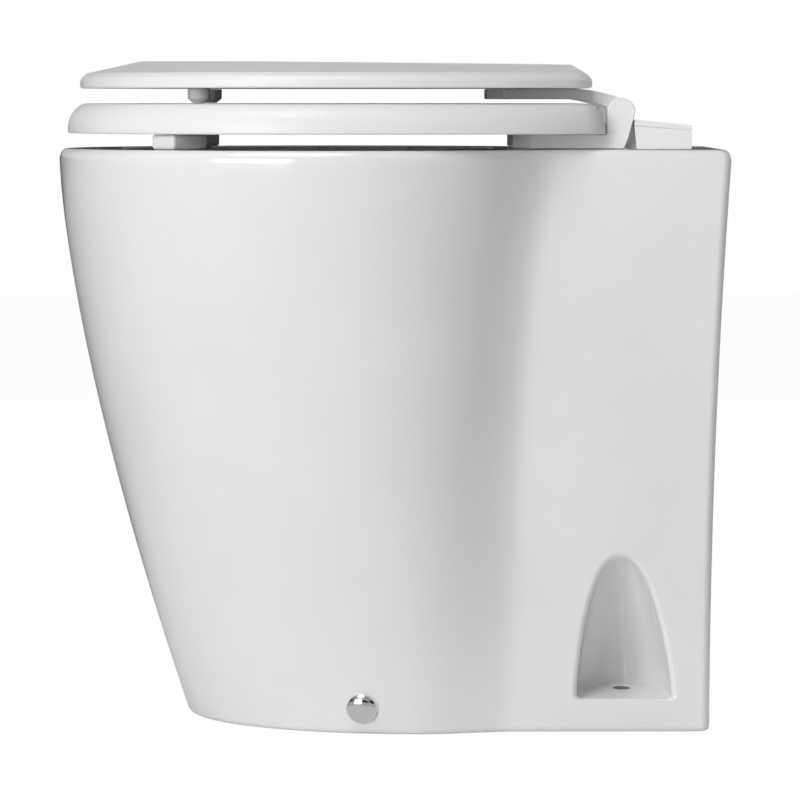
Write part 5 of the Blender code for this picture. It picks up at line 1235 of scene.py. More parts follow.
ARM_EDGE = 0.0009
BLOCK_EDGE = 0.0007
WASHER_EDGE = 0.0007
NUT_EDGE = 0.0005


def seat_arm_outline():
    """A leg under the seat and an upright with a round head on the pin."""
    bottom = RIM_HEIGHT + 2 * GAP
    leg_top = SEAT_LOW.z - GAP
    front = HINGE.y - SEAT_ARM_REACH
    face = HINGE.y - HEAD_RADIUS
    foot_back, heel_back, heel_drop = UPRIGHT_BACK
    outline = [(front, bottom), (HINGE.y + foot_back, bottom), (HINGE.y + heel_back, HINGE.z - heel_drop)]
    outline += arc((HINGE.y, HINGE.z), HEAD_RADIUS, 0, math.pi, 36)
    return outline + [(face, leg_top), (front, leg_top)]


def lid_arm_outline():
    """A leg under the lid, curved down over the seat's end to its head."""
    top = LID_LOW.z - GAP
    bottom = top - LID_ARM_LEG
    front = HINGE.y - LID_ARM_REACH
    bend = HINGE.y - LID_ARM_STRAIGHT
    head_top = HINGE.z + HEAD_RADIUS
    run = LID_ARM_STRAIGHT - HEAD_RADIUS + GAP
    upper = []
    lower = []
    for i in range(15):
        share = i / 14
        upper.append((bend + LID_ARM_STRAIGHT * share, top + (head_top - top) * share ** 2))
        lower.append((bend + run * share, bottom - LID_ARM_DROP * share ** 2))
    head = arc((HINGE.y, HINGE.z), HEAD_RADIUS, *LID_HEAD_TURN, 40)
    return [(front, top)] + upper[:-1] + head + lower[::-1] + [(front, bottom)]


def block_outline():
    """The block's side, which leans at the front and falls to the back."""
    low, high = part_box("hinge_cap_right")
    return [(low.y + BLOCK_LEAN, RIM_HEIGHT + GAP), (high.y, RIM_HEIGHT + GAP),
            (high.y, low.z - GAP), (low.y, low.z - GAP + BLOCK_FALL)]


def cap_outline():
    """The clip-on cap's side, sloping as the block's top does."""
    low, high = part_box("hinge_cap_right")
    return [(low.y, low.z + BLOCK_FALL), (high.y, low.z), (high.y, high.z - BLOCK_FALL), (low.y, high.z)]


def lug_outline():
    """The block's front ear, which holds the pin between the two arms."""
    low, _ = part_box("hinge_cap_right")
    bottom = RIM_HEIGHT + GAP
    inside = low.y + 2 * BLOCK_LEAN
    top = low.z + BLOCK_FALL - GAP
    head = arc((HINGE.y, HINGE.z), LUG_HEAD_RADIUS, 0, LUG_HEAD_TURN, 40)
    return [(HINGE.y + LUG_FOOT, bottom), (inside, bottom), (inside, top - BLOCK_LEAN), (low.y, top),
            (HINGE.y + LUG_HEAD_RADIUS, top)] + head


def leg_end_tool(name, side, outer_x, front, chamfer):
    """Slants a leg's front end in plan, so that its outer corner lies further back."""
    inner_x = outer_x - ARM_WIDTH
    outline = [(inner_x, front), (outer_x + OVERRUN, front + chamfer * (ARM_WIDTH + OVERRUN) / ARM_WIDTH),
               (outer_x + OVERRUN, front - OVERRUN), (inner_x - OVERRUN, front - OVERRUN)]
    heights = (RIM_HEIGHT - OVERRUN, LID_LOW.z + OVERRUN)
    return raise_rings(name, [[Vector((side * x, y, z)) for x, y in outline] for z in heights])


def make_arm(name, outline, side, body, reach, chamfer):
    """An arm with its pin hole, which is closed on the side away from the other arm."""
    x = abs(middle(name).x)
    piece = side_plate(name + "_moulding", outline, side * x, ARM_WIDTH)
    pin_low, pin_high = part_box("hinge_pin_right")
    start = pin_low.x - GAP if "lid" in name else x - ARM_WIDTH
    bore = rod(name + "_bore", PIN_ROOM, (side * start, HINGE.y, HINGE.z), (side, 0, 0),
               pin_high.x + GAP - start, 40)
    cut(piece, [bore, leg_end_tool(name + "_end", side, x + ARM_WIDTH / 2, HINGE.y - reach, chamfer)])
    return complete(piece, name, body, ARM_EDGE)


def make_hinge(name, side):
    make_arm("seat_arm_" + name, seat_arm_outline(), side, "seat_body", SEAT_ARM_REACH, SEAT_ARM_CHAMFER)
    make_arm("lid_arm_" + name, lid_arm_outline(), side, "lid_body", LID_ARM_REACH, LID_ARM_CHAMFER)
    x = middle("hinge_cap_" + name).x
    bolt = middle("hinge_bolt_" + name)
    block = side_plate("hinge_block_" + name + "_moulding", block_outline(), x, BLOCK_WIDTH)
    lug = side_plate("lug_" + name, lug_outline(), x, LUG_WIDTH)
    cut(block, [lug], "UNION")
    round_edges(block, BLOCK_EDGE, 3)
    seat_z = RIM_HEIGHT + BOLT_SEAT_HEIGHT
    pin_start = (x - BLOCK_WIDTH, HINGE.y, HINGE.z)
    bolt_start = (x, bolt.y, RIM_HEIGHT - OVERRUN)
    cut(block, [rod("pin_room", PIN_ROOM, pin_start, ALONG_X, BLOCK_WIDTH * 2, 40),
                rod("bolt_well", BOLT_WELL_RADIUS, (x, bolt.y, seat_z), UP, BLOCK_WIDTH, 48),
                rod("bolt_hole", BOLT_RADIUS + GAP, bolt_start, UP, BLOCK_WIDTH, 40)])
    complete(block, "hinge_block_" + name, "pan_body")
    cap = side_plate("hinge_cap_" + name + "_moulding", cap_outline(), x, BLOCK_WIDTH)
    complete(cap, "hinge_cap_" + name, "pan_body", BLOCK_EDGE, 4)

    low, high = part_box("hinge_pin_" + name)
    profile = pin_profile((high.z - low.z) / 2, 0, high.x - low.x, ARM_EDGE)
    pin = turned("hinge_pin_" + name + "_turning", profile, (low.x, HINGE.y, HINGE.z), ALONG_X)
    complete(pin, "hinge_pin_" + name, "pan_body")
    make_hinge_fixing(name, x, bolt.y)


def make_hinge_fixing(name, x, y):
    """Hexagon socket bolt, rubber washer and wing nut."""
    low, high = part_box("hinge_bolt_" + name)
    head_low = RIM_HEIGHT + BOLT_SEAT_HEIGHT + GAP
    edge_radius = BOLT_HEAD_RADIUS - BOLT_HEAD_EDGE
    profile = [(0, high.z), (edge_radius, high.z), (BOLT_HEAD_RADIUS, high.z - BOLT_HEAD_EDGE),
               (BOLT_HEAD_RADIUS, head_low), (BOLT_RADIUS, head_low)]
    level = head_low - BOLT_PLAIN_LENGTH
    while level > low.z + 2 * BOLT_PITCH:
        profile += [(BOLT_RADIUS, level), (BOLT_RADIUS - THREAD_DEPTH, level - BOLT_PITCH / 2)]
        level -= BOLT_PITCH
    profile += [(BOLT_RADIUS, level), (BOLT_RADIUS - BOLT_TIP, low.z), (0, low.z)]
    bolt = turned("hinge_bolt_" + name + "_turning", profile, (x, y, 0), steps=40)
    cut(bolt, [rod("bolt_socket", BOLT_SOCKET_RADIUS, (x, y, high.z - BOLT_SOCKET_DEPTH), UP, OVERRUN, 6)])
    complete(bolt, "hinge_bolt_" + name, "pan_body", shading=FINE)

    low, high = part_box("hinge_washer_" + name)
    outer = (high.x - low.x) / 2
    bore = BOLT_RADIUS + GAP
    profile = [(outer, low.z), (outer, high.z), (bore, high.z), (bore, low.z)]
    washer = turned("hinge_washer_" + name + "_moulding", profile, (x, y, 0))
    complete(washer, "hinge_washer_" + name, "pan_body", WASHER_EDGE)
    nut = from_solid("wing_nut_" + name, "wing_nut_" + name + "_moulding")
    complete(nut, "wing_nut_" + name, "pan_body", NUT_EDGE, 3, FINE)


# Buffers

SEAT_BUFFER_LENGTH = 0.037
SEAT_BUFFER_WIDTH = 0.0225
SEAT_BUFFER_TURN = math.radians(-40)
SEAT_BUFFER_EDGE = 0.0025
LID_BUFFER_CHAMFER = 0.0042
LID_BUFFER_FOOT = 0.0033
LID_BUFFER_EDGE = 0.0006


def make_seat_buffer(name, side):
    """A short bar under the ring, slightly softened all round."""
    node = "seat_buffer_" + name
    low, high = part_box(node)
    size = Vector((SEAT_BUFFER_LENGTH, SEAT_BUFFER_WIDTH, high.z - low.z)) / 2
    bar = box_piece(node + "_moulding", -size, size)
    bar.location = middle(node)
    bar.rotation_euler = (0, 0, side * SEAT_BUFFER_TURN)
    apply_place(bar)
    complete(bar, node, "seat_body", SEAT_BUFFER_EDGE, 5)


def make_lid_buffer(name):
    """A round post under the lid with a chamfered foot."""
    node = "lid_buffer_" + name
    low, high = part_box(node)
    radius = (high.x - low.x) / 2
    place = middle(node)
    profile = [(0, high.z), (radius, high.z), (radius, low.z + LID_BUFFER_FOOT),
               (radius - LID_BUFFER_CHAMFER, low.z), (0, low.z)]
    buffer = turned(node + "_moulding", profile, (place.x, place.y, 0))
    complete(buffer, node, "lid_body", LID_BUFFER_EDGE)


# Floor fixing

SIDE_SCREW_RADIUS = 0.0025
SIDE_SCREW_LENGTH = 0.034
SIDE_SCREW_HEAD = (0.0055, 0.003)
SIDE_SCREW_HEAD_EDGE = 0.0008
SIDE_SCREW_PITCH = 0.0015
SIDE_SCREW_POINT = 0.0004
SIDE_SCREW_SLOT = (0.0011, 0.006)
SIDE_SCREW_SLOT_DEPTH = 0.0032
COVER_CAP_RADIUS = 0.0116
COVER_CAP_HEIGHT = 0.0062
COVER_CAP_WALL = 0.0022
BRACKET_EDGE = 0.001


def make_side_fixing(name, side):
    """Screw through the skirt, its chromed cover cap and the bracket inside."""
    surface, normal = skirt_point(side, *SIDE_SCREW_PLACE)
    seat = surface + normal * GAP
    radius, head = SIDE_SCREW_HEAD
    profile = [(0, head), (radius - SIDE_SCREW_HEAD_EDGE, head), (radius, head - SIDE_SCREW_HEAD_EDGE),
               (radius, 0), (SIDE_SCREW_RADIUS, 0)]
    pitch = SIDE_SCREW_PITCH
    depth = WALL + pitch
    while depth < SIDE_SCREW_LENGTH - 2 * pitch:
        profile += [(SIDE_SCREW_RADIUS, -depth), (SIDE_SCREW_RADIUS - THREAD_DEPTH, -depth - pitch / 2)]
        depth += pitch
    profile += [(SIDE_SCREW_RADIUS, -depth), (SIDE_SCREW_POINT, -SIDE_SCREW_LENGTH),
                (0, -SIDE_SCREW_LENGTH)]
    screw = turned("side_screw_" + name + "_turning", profile, seat, normal, 32)
    slots = []
    for width, height in (SIDE_SCREW_SLOT, SIDE_SCREW_SLOT[::-1]):
        size = Vector((width, height, SIDE_SCREW_SLOT_DEPTH)) / 2
        slot = box_piece("screw_slot", -size, size)
        slot.rotation_euler = UP.rotation_difference(normal).to_euler()
        slot.location = seat + normal * head
        slots.append(apply_place(slot))
    cut(screw, slots)
    complete(screw, "side_screw_" + name, "pan_body", shading=FINE)

    inner_radius = COVER_CAP_RADIUS - COVER_CAP_WALL
    inner_height = COVER_CAP_HEIGHT - COVER_CAP_WALL
    dome = arc((0, 0), 1, math.pi / 2, 0, 20)
    profile = [(0, COVER_CAP_HEIGHT)]
    profile += [(COVER_CAP_RADIUS * max(r, 0), COVER_CAP_HEIGHT * h) for r, h in dome[1:]]
    profile += [(inner_radius, 0), (inner_radius, inner_height), (0, inner_height)]
    cap = turned("cover_cap_" + name + "_turning", profile, seat, normal, 80)
    complete(cap, "cover_cap_" + name, "pan_body", shading=math.radians(50))
    bracket = from_solid("floor_bracket_" + name, "floor_bracket_" + name + "_moulding")
    complete(bracket, "floor_bracket_" + name, "pan_body", BRACKET_EDGE, 3, FINE)


for side_name, side_sign in SIDES.items():
    make_hinge(side_name, side_sign)
    make_seat_buffer(side_name, side_sign)
    make_lid_buffer(side_name)
    make_side_fixing(side_name, side_sign)


# Sizes of the pump train, the discharge and the flush valve

PUMP_AXIS = Vector((0, 0, middle("motor_shaft").z))
PUMP_RADIUS = 0.046
PUMP_WALL = 0.006
COVER_BORE = 0.019
COVER_THICKNESS = 0.006
PORT_RADIUS = 0.0165
PORT_BORE = 0.0125
SHAFT_RADIUS = 0.004
SHAFT_ROOM = SHAFT_RADIUS + GAP
BEARING_RADIUS = 0.011
BEARING_GROOVE = 0.0005
BEARING_TRACK = (0.0015, 0.002)
SEAL_RADIUS = 0.012
SEAL_DISH = 0.0012
PLATE_HOLES = 6
PLATE_HOLE_RING = 0.025
PLATE_HOLE_RADIUS = 0.006
SHAFT_EDGE = 0.0006
FLANGE_THICKNESS = 0.007
MOTOR_RADIUS = 0.036
CAN_WALL = 0.003
CAN_FRONT_WALL = 0.009
END_CAP_SPIGOT = 0.005
MAGNET_THICKNESS = 0.0082
ARMATURE_RADIUS = 0.0235
ARMATURE_SLOTS = 12
ARMATURE_SLOT = (0.005, 0.0018)
SLOT_OVERRUN = 0.001
COMMUTATOR_RADIUS = 0.011
COMMUTATOR_LENGTH = 0.013
IMPELLER_RADIUS = 0.034
IMPELLER_HUB = 0.009
IMPELLER_DISC = 0.003
VANES = 4
VANE_THICKNESS = 0.003
VANE_OVERLAP = 0.001
BLADE_WIDTH = 0.012
GLAND_RADIUS = 0.0095
GLAND_NECK_RADIUS = 0.0065
GLAND_BORE = 0.003
GLAND_NOTCHES = 12
GLAND_NOTCH_RADIUS = 0.0013
GLAND_NOTCH_OUT = 0.0008
GLAND_COLLAR = 0.002
STRAP_REACH = 0.0425
STRAP_THICKNESS = 0.002
STRAP_START = math.radians(4)
SEAL_WAIST = 0.001
ELBOW_RADIUS = 0.028
ELBOW_WALL = 0.004
ELBOW_SOCKET_RADIUS = 0.0400
ELBOW_STEP = 0.0024
ELBOW_BEND = 0.045
DISCHARGE_WALL = 0.0037
DISCHARGE_BEND = 0.032
FLAP_SOCKET_LENGTH = 0.012
FLAP_CHAMBER_RADIUS = 0.027
FLAP_CHAMBER_WALL = 0.0035
FLAP_SEAT_THICKNESS = 0.004
FLAP_THICKNESS = 0.0025
FLAP_BARREL_LENGTH = 0.010
TAIL_FLANGE = 0.004
TAIL_END = (0.0006, 0.0012)
SPUD_BORE = 0.005
SPUD_FLANGE_THICKNESS = 0.003
SPUD_TAIL_RADIUS = 0.0095
VALVE_RADIUS = 0.0130
VALVE_BORE = 0.006
VALVE_TAIL_RADIUS = 0.009
VALVE_TAIL_LENGTH = 0.020
VALVE_TAIL_CHAMFER = 0.0008
BARBS = 4
BARB_START = 0.004
BARB_PITCH = 0.0034
BARB_DEPTH = 0.0006
BARB_LEVELS = (0.0004, 0.002, 0.0024)
VALVE_STEM_RADIUS = 0.0155
GUIDE_RADIUS = 0.0072
GUIDE_WALL = 0.0015
GUIDE_FLANGE_RADIUS = 0.013
GUIDE_FLANGE_THICKNESS = 0.003
COIL_RIB = 0.0012
COIL_CHEEK = 0.004
PLUNGER_EDGE = 0.0005
SPRING_RADIUS = 0.0038
SPRING_WIRE = 0.0005
SPRING_TURNS = 7
SPRING_TURN_STEPS = 40


def along(node):
    """Front and back of a solid."""
    low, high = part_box(node)
    return low.y, high.y


def spoke(number, count):
    """The direction of one of several evenly spaced spokes about an axis along Y."""
    turn = 2 * math.pi / count * number
    return Vector((math.cos(turn), 0, math.sin(turn)))


def turned_piece(node, profile, place, direction, body="pan_body", edge=0.0, steps=ROUND_STEPS,
                 shading=SHARP):
    """A finished piece from its profile, in place of the solid of that name."""
    piece = turned(node + "_turning", profile, place, direction, steps)
    return complete(piece, node, body, edge, 2, shading)


# Bowl outlet and macerator pump

def make_outlet():
    low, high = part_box("outlet_seal")
    inner = THROAT_RADIUS + SPIGOT_WALL + GAP
    outer = high.x
    place = (0, (low.y + high.y) / 2, 0)
    lip = (high.z - low.z) / 3
    slope = lip / 4
    waist = outer - SEAL_WAIST
    profile = [(inner, low.z), (outer, low.z), (outer, low.z + lip), (waist, low.z + lip + slope),
               (waist, high.z - lip - slope), (outer, high.z - lip), (outer, high.z), (inner, high.z)]
    turned_piece("outlet_seal", profile, place, UP, edge=0.0004)
    low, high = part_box("inlet_elbow")
    bend_top = PUMP_AXIS.z + ELBOW_BEND
    shoulder = SPIGOT_END - ELBOW_WALL
    points = [(0, SUMP_Y, high.z), (0, SUMP_Y, shoulder), (0, SUMP_Y, shoulder - ELBOW_STEP)]
    radii = [ELBOW_SOCKET_RADIUS, ELBOW_SOCKET_RADIUS, ELBOW_RADIUS]
    for y, z in arc((SUMP_Y + ELBOW_BEND, bend_top), ELBOW_BEND, math.pi, math.pi * 3 / 2, 22):
        points.append((0, y, z))
        radii.append(ELBOW_RADIUS)
    points.append((0, high.y, PUMP_AXIS.z))
    radii.append(ELBOW_RADIUS)
    elbow = pipe("inlet_elbow_moulding", points, radii, ELBOW_WALL)
    complete(elbow, "inlet_elbow", "pan_body", 0.0008, 3, math.radians(40))


def make_pump():
    """Cover, housing, shaft seal and chopper plate.  Gives the upright port's place along Y."""
    front, back = along("pump_cover")
    tail = ELBOW_RADIUS - ELBOW_WALL - 2 * GAP
    face = back - COVER_THICKNESS
    profile = [(PUMP_RADIUS, back), (PUMP_RADIUS, face), (tail, face), (tail, front), (COVER_BORE, front),
               (COVER_BORE, back)]
    turned_piece("pump_cover", profile, PUMP_AXIS, ALONG_Y, edge=0.0008)

    front, back = along("pump_housing")
    port_x = middle("discharge_elbow").x
    port_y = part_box("discharge_elbow")[0].y + PORT_RADIUS + GAP + DISCHARGE_WALL
    port_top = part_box("pump_housing")[1].z
    chamber = PUMP_RADIUS - PUMP_WALL
    floor = back - PUMP_WALL
    seal_room = SEAL_RADIUS + GAP
    profile = [(PUMP_RADIUS, front), (PUMP_RADIUS, back), (seal_room, back), (seal_room, floor),
               (chamber, floor), (chamber, front)]
    housing = turned("pump_housing_moulding", profile, PUMP_AXIS, ALONG_Y, 80)
    stub_start = (port_x, port_y, PUMP_AXIS.z + chamber - PUMP_WALL / 2)
    stub_length = port_top - PUMP_AXIS.z - chamber + PUMP_WALL / 2
    cut(housing, [rod("port_stub", PORT_RADIUS, stub_start, UP, stub_length)], "UNION")
    chamber_start = (0, front - OVERRUN, PUMP_AXIS.z)
    cut(housing, [rod("chamber_room", chamber, chamber_start, ALONG_Y, floor - front + OVERRUN, 80),
                  rod("port_room", PORT_BORE, (port_x, port_y, PUMP_AXIS.z), UP, PUMP_RADIUS * 2)])
    complete(housing, "pump_housing", "pan_body", 0.0006, 2)

    front, back = along("shaft_seal")
    profile = [(SEAL_RADIUS, front), (SEAL_RADIUS, back), (SHAFT_ROOM, back),
               (SHAFT_ROOM + SEAL_DISH, (front + back) / 2), (SHAFT_ROOM, front)]
    turned_piece("shaft_seal", profile, PUMP_AXIS, ALONG_Y, edge=0.0004)
    make_chopper_plate(chamber)
    return port_y


def make_chopper_plate(chamber):
    """A round plate with a ring of holes, against which the blade cuts."""
    front, back = along("chopper_plate")
    plate = rod("chopper_plate_cutting", chamber - GAP, (0, front, PUMP_AXIS.z), ALONG_Y, back - front, 80)
    middle_start = PUMP_AXIS + ALONG_Y * (front - OVERRUN)
    holes = [rod("plate_centre", SHAFT_RADIUS * 3 / 2, middle_start, ALONG_Y, 3 * OVERRUN, 40)]
    for i in range(PLATE_HOLES):
        start = middle_start + spoke(i, PLATE_HOLES) * PLATE_HOLE_RING
        holes.append(rod("plate_hole", PLATE_HOLE_RADIUS, start, ALONG_Y, 3 * OVERRUN, 32))
    cut(plate, holes)
    complete(plate, "chopper_plate", "pan_body", 0.0003, 2)


def make_rotor():
    """Shaft with chopper blade, impeller and armature."""
    front, back = along("motor_shaft")
    profile = pin_profile(SHAFT_RADIUS, front, back, SHAFT_EDGE)
    turned_piece("motor_shaft", profile, PUMP_AXIS, ALONG_Y, "rotor_body", steps=48)

    low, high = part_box("chopper_blade")
    slant = BLADE_WIDTH / 4
    half = BLADE_WIDTH / 2
    outline = [(-half, low.z + slant), (-half + slant, low.z), (half, low.z), (half, high.z - slant),
               (half - slant, high.z), (-half, high.z)]
    rings = [[Vector((x, y, z)) for x, z in outline] for y in (low.y, high.y)]
    blade = raise_rings("chopper_blade_cutting", rings)
    cut(blade, [rod("blade_bore", SHAFT_ROOM, (0, low.y - OVERRUN, PUMP_AXIS.z), ALONG_Y, 3 * OVERRUN, 40)])
    complete(blade, "chopper_blade", "rotor_body", 0.0004, 2)

    front, back = along("impeller")
    disc_front = back - IMPELLER_DISC
    profile = [(SHAFT_ROOM, front), (IMPELLER_HUB, front), (IMPELLER_HUB, disc_front),
               (IMPELLER_RADIUS, disc_front), (IMPELLER_RADIUS, back), (SHAFT_ROOM, back)]
    impeller = turned("impeller_moulding", profile, PUMP_AXIS, ALONG_Y)
    reach = IMPELLER_RADIUS - VANE_THICKNESS
    inner = IMPELLER_HUB - VANE_OVERLAP
    vane_back = disc_front + IMPELLER_DISC / 3
    vanes = []
    for i in range(VANES):
        vane = box_piece("vane", (inner, front + VANE_THICKNESS, -VANE_THICKNESS / 2),
                         (reach, vane_back, VANE_THICKNESS / 2))
        vane.rotation_euler = (0, 2 * math.pi / VANES * i, 0)
        vane.location = PUMP_AXIS
        vanes.append(apply_place(vane))
    cut(impeller, vanes, "UNION")
    complete(impeller, "impeller", "rotor_body", 0.0005, 2, FINE)

    front, back = along("armature")
    core_front, core_back = along("magnet_ring")
    commutator_front = back - COMMUTATOR_LENGTH
    sleeve = (COMMUTATOR_RADIUS + SHAFT_ROOM) / 2
    profile = [(COMMUTATOR_RADIUS, back), (COMMUTATOR_RADIUS, commutator_front), (sleeve, commutator_front),
               (sleeve, core_back), (ARMATURE_RADIUS, core_back), (ARMATURE_RADIUS, core_front),
               (SHAFT_ROOM, core_front), (SHAFT_ROOM, back)]
    armature = turned("armature_winding", profile, PUMP_AXIS, ALONG_Y, 96)
    depth, width = ARMATURE_SLOT
    slots = []
    for i in range(ARMATURE_SLOTS):
        slot = box_piece("armature_slot", (ARMATURE_RADIUS - depth, front - OVERRUN, -width / 2),
                         (ARMATURE_RADIUS + OVERRUN, core_back + SLOT_OVERRUN, width / 2))
        slot.rotation_euler = (0, 2 * math.pi / ARMATURE_SLOTS * i, 0)
        slot.location = PUMP_AXIS
        slots.append(apply_place(slot))
    cut(armature, slots)
    complete(armature, "armature", "rotor_body", 0.0003, 2, FINE)


def bearing_track(face, groove, way):
    """The shallow groove between a bearing's rings, walked inwards or outwards."""
    track = (BEARING_RADIUS + SHAFT_ROOM) / 2
    floor, top = BEARING_TRACK
    return [(track + way * top, face), (track + way * floor, face + groove),
            (track - way * floor, face + groove), (track - way * top, face)]


def make_motor():
    """Flanged can with its bearings and magnet ring, and the end cap with the cable gland."""
    front, back = along("motor_can")
    flange_back = front + FLANGE_THICKNESS
    inner = MOTOR_RADIUS - CAN_WALL
    pocket = BEARING_RADIUS + GAP
    room = SHAFT_RADIUS * 3 / 2
    floor = front + CAN_FRONT_WALL
    stop = along("front_bearing")[0] - GAP
    profile = [(MOTOR_RADIUS, back), (MOTOR_RADIUS, flange_back), (PUMP_RADIUS, flange_back),
               (PUMP_RADIUS, front), (room, front), (room, stop), (pocket, stop), (pocket, floor),
               (inner, floor), (inner, back)]
    turned_piece("motor_can", profile, PUMP_AXIS, ALONG_Y, edge=0.0008, steps=80)
    for node in ("front_bearing", "rear_bearing"):
        front, back = along(node)
        profile = [(BEARING_RADIUS, front), (BEARING_RADIUS, back)]
        profile += bearing_track(back, -BEARING_GROOVE, 1)
        profile += [(SHAFT_ROOM, back), (SHAFT_ROOM, front)]
        profile += bearing_track(front, BEARING_GROOVE, -1)
        turned_piece(node, profile, PUMP_AXIS, ALONG_Y, shading=FINE)
    front, back = along("magnet_ring")
    profile = [(inner - GAP, front), (inner - GAP, back), (inner - MAGNET_THICKNESS, back),
               (inner - MAGNET_THICKNESS, front)]
    turned_piece("magnet_ring", profile, PUMP_AXIS, ALONG_Y, edge=0.0006, steps=80)

    front, back = along("motor_end_cap")
    face = front + END_CAP_SPIGOT
    spigot = inner - GAP
    rest = along("rear_bearing")[1] + GAP
    profile = [(0, back), (MOTOR_RADIUS, back), (MOTOR_RADIUS, face), (spigot, face), (spigot, front),
               (pocket, front), (pocket, rest), (room, rest), (room, back - room), (0, back - room)]
    cap = turned("motor_end_cap_moulding", profile, PUMP_AXIS, ALONG_Y, 80)
    axis = Vector((0, 0, middle("cable_gland").z))
    hole_start = axis + ALONG_Y * (front - OVERRUN)
    cut(cap, [rod("gland_hole", GLAND_NECK_RADIUS + GAP, hole_start, ALONG_Y, 5 * OVERRUN, 48)])
    complete(cap, "motor_end_cap", "pan_body", 0.0009, 3)

    low, top = along("cable_gland")
    rest = back + GAP
    crown = top - GLAND_RADIUS / 3
    profile = [(GLAND_NECK_RADIUS, top), (GLAND_RADIUS, crown), (GLAND_RADIUS, rest),
               (GLAND_NECK_RADIUS, rest), (GLAND_NECK_RADIUS, low), (GLAND_BORE, low), (GLAND_BORE, top)]
    piece = turned("cable_gland_moulding", profile, axis, ALONG_Y, 64)
    notches = []
    for i in range(GLAND_NOTCHES):
        start = axis + spoke(i, GLAND_NOTCHES) * (GLAND_RADIUS + GLAND_NOTCH_OUT)
        start += ALONG_Y * (rest + GLAND_COLLAR)
        notches.append(rod("gland_notch", GLAND_NOTCH_RADIUS, start, ALONG_Y, crown - rest, 16))
    cut(piece, notches)
    complete(piece, "cable_gland", "pan_body", 0.0003, 2)


def make_pump_base():
    """The saddle base, and the strap that holds the motor down on it."""
    base = from_solid("pump_base", "pump_base_moulding")
    complete(base, "pump_base", "pan_body", 0.0007, 3, FINE)
    front, back = along("motor_strap")
    inner = MOTOR_RADIUS + GAP
    low = PUMP_AXIS.z + GAP
    outline = [(STRAP_REACH, low), (STRAP_REACH, low + STRAP_THICKNESS)]
    outline += arc((0, low), inner + STRAP_THICKNESS, STRAP_START, math.pi - STRAP_START, 60)
    outline += [(-STRAP_REACH, low + STRAP_THICKNESS), (-STRAP_REACH, low)]
    outline += arc((0, low), inner, math.pi, 0, 60)
    rings = [[Vector((x, y, z)) for x, z in outline] for y in (front, back)]
    strap = raise_rings("motor_strap_pressing", rings)
    complete(strap, "motor_strap", "pan_body", 0.0004, 2)


# Discharge with non-return flap

def make_discharge(port_y):
    """Elbow on the pump's port, flap housing with its pin and flap, and the tail for the hose."""
    radius = PORT_RADIUS + GAP + DISCHARGE_WALL
    low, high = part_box("discharge_elbow")
    level = middle("discharge_tail").z
    bend = arc((port_y + DISCHARGE_BEND, level - DISCHARGE_BEND), DISCHARGE_BEND, math.pi, math.pi / 2, 24)
    points = [(0, port_y, low.z)] + [(0, y, z) for y, z in bend] + [(0, high.y, level)]
    elbow = pipe("discharge_elbow_moulding", points, [radius] * len(points), DISCHARGE_WALL)
    complete(elbow, "discharge_elbow", "pan_body", 0.0007, 3, math.radians(40))

    axis = Vector((0, 0, level))
    front, back = along("flap_housing")
    seat_low = front + FLAP_SOCKET_LENGTH + GAP
    seat_high = seat_low + FLAP_SEAT_THICKNESS
    chamber = FLAP_CHAMBER_RADIUS - FLAP_CHAMBER_WALL
    socket = radius + 2 * GAP
    neck = socket + DISCHARGE_WALL
    profile = [(FLAP_CHAMBER_RADIUS, back), (FLAP_CHAMBER_RADIUS, seat_low), (neck, seat_low),
               (neck, front), (socket, front), (socket, seat_low), (PORT_BORE, seat_low),
               (PORT_BORE, seat_high), (chamber, seat_high), (chamber, back)]
    housing = turned("flap_housing_moulding", profile, axis, ALONG_Y, 72)
    pin_low, pin_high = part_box("flap_pin")
    pin = (pin_low + pin_high) / 2
    pin_radius = (pin_high.z - pin_low.z) / 2
    pin_length = pin_high.x - pin_low.x
    room_start = (pin_low.x - GAP, pin.y, pin.z)
    cut(housing, [rod("flap_pin_room", pin_radius + GAP, room_start, ALONG_X, pin_length + 2 * GAP, 32)])
    complete(housing, "flap_housing", "pan_body", 0.0006, 2)
    profile = pin_profile(pin_radius, 0, pin_length, GAP)
    turned_piece("flap_pin", profile, (pin_low.x, pin.y, pin.z), ALONG_X, steps=32)

    low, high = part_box("flap")
    radius = level - low.z
    face = low.y
    profile = [(0, face), (radius, face), (radius, face + FLAP_THICKNESS), (0, face + FLAP_THICKNESS)]
    flap = turned("flap_moulding", profile, axis, ALONG_Y)
    half = FLAP_BARREL_LENGTH / 2
    barrel = rod("flap_barrel", high.z - pin.z, (-half, pin.y, pin.z), ALONG_X, FLAP_BARREL_LENGTH, 40)
    web = box_piece("flap_web", (-half, face + GAP, pin.z - 3 * (high.z - pin.z)), (half, pin.y, pin.z))
    cut(flap, [barrel, web], "UNION")
    cut(flap, [rod("flap_eye", pin_radius + GAP, (-2 * half, pin.y, pin.z), ALONG_X, 4 * half, 32)])
    complete(flap, "flap", "flap_body", 0.0003, 2, FINE)

    front, back = along("discharge_tail")
    flange_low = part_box("flap_housing")[1].y + GAP
    flange_high = flange_low + TAIL_FLANGE
    spigot = chamber - GAP
    inward, along_tail = TAIL_END
    profile = [(PORT_RADIUS - inward, back), (PORT_RADIUS, back - along_tail), (PORT_RADIUS, flange_high),
               (FLAP_CHAMBER_RADIUS, flange_high), (FLAP_CHAMBER_RADIUS, flange_low), (spigot, flange_low),
               (spigot, front), (PORT_BORE, front), (PORT_BORE, back)]
    turned_piece("discharge_tail", profile, axis, ALONG_Y, edge=0.0006, steps=72)


# Flush inlet and solenoid valve

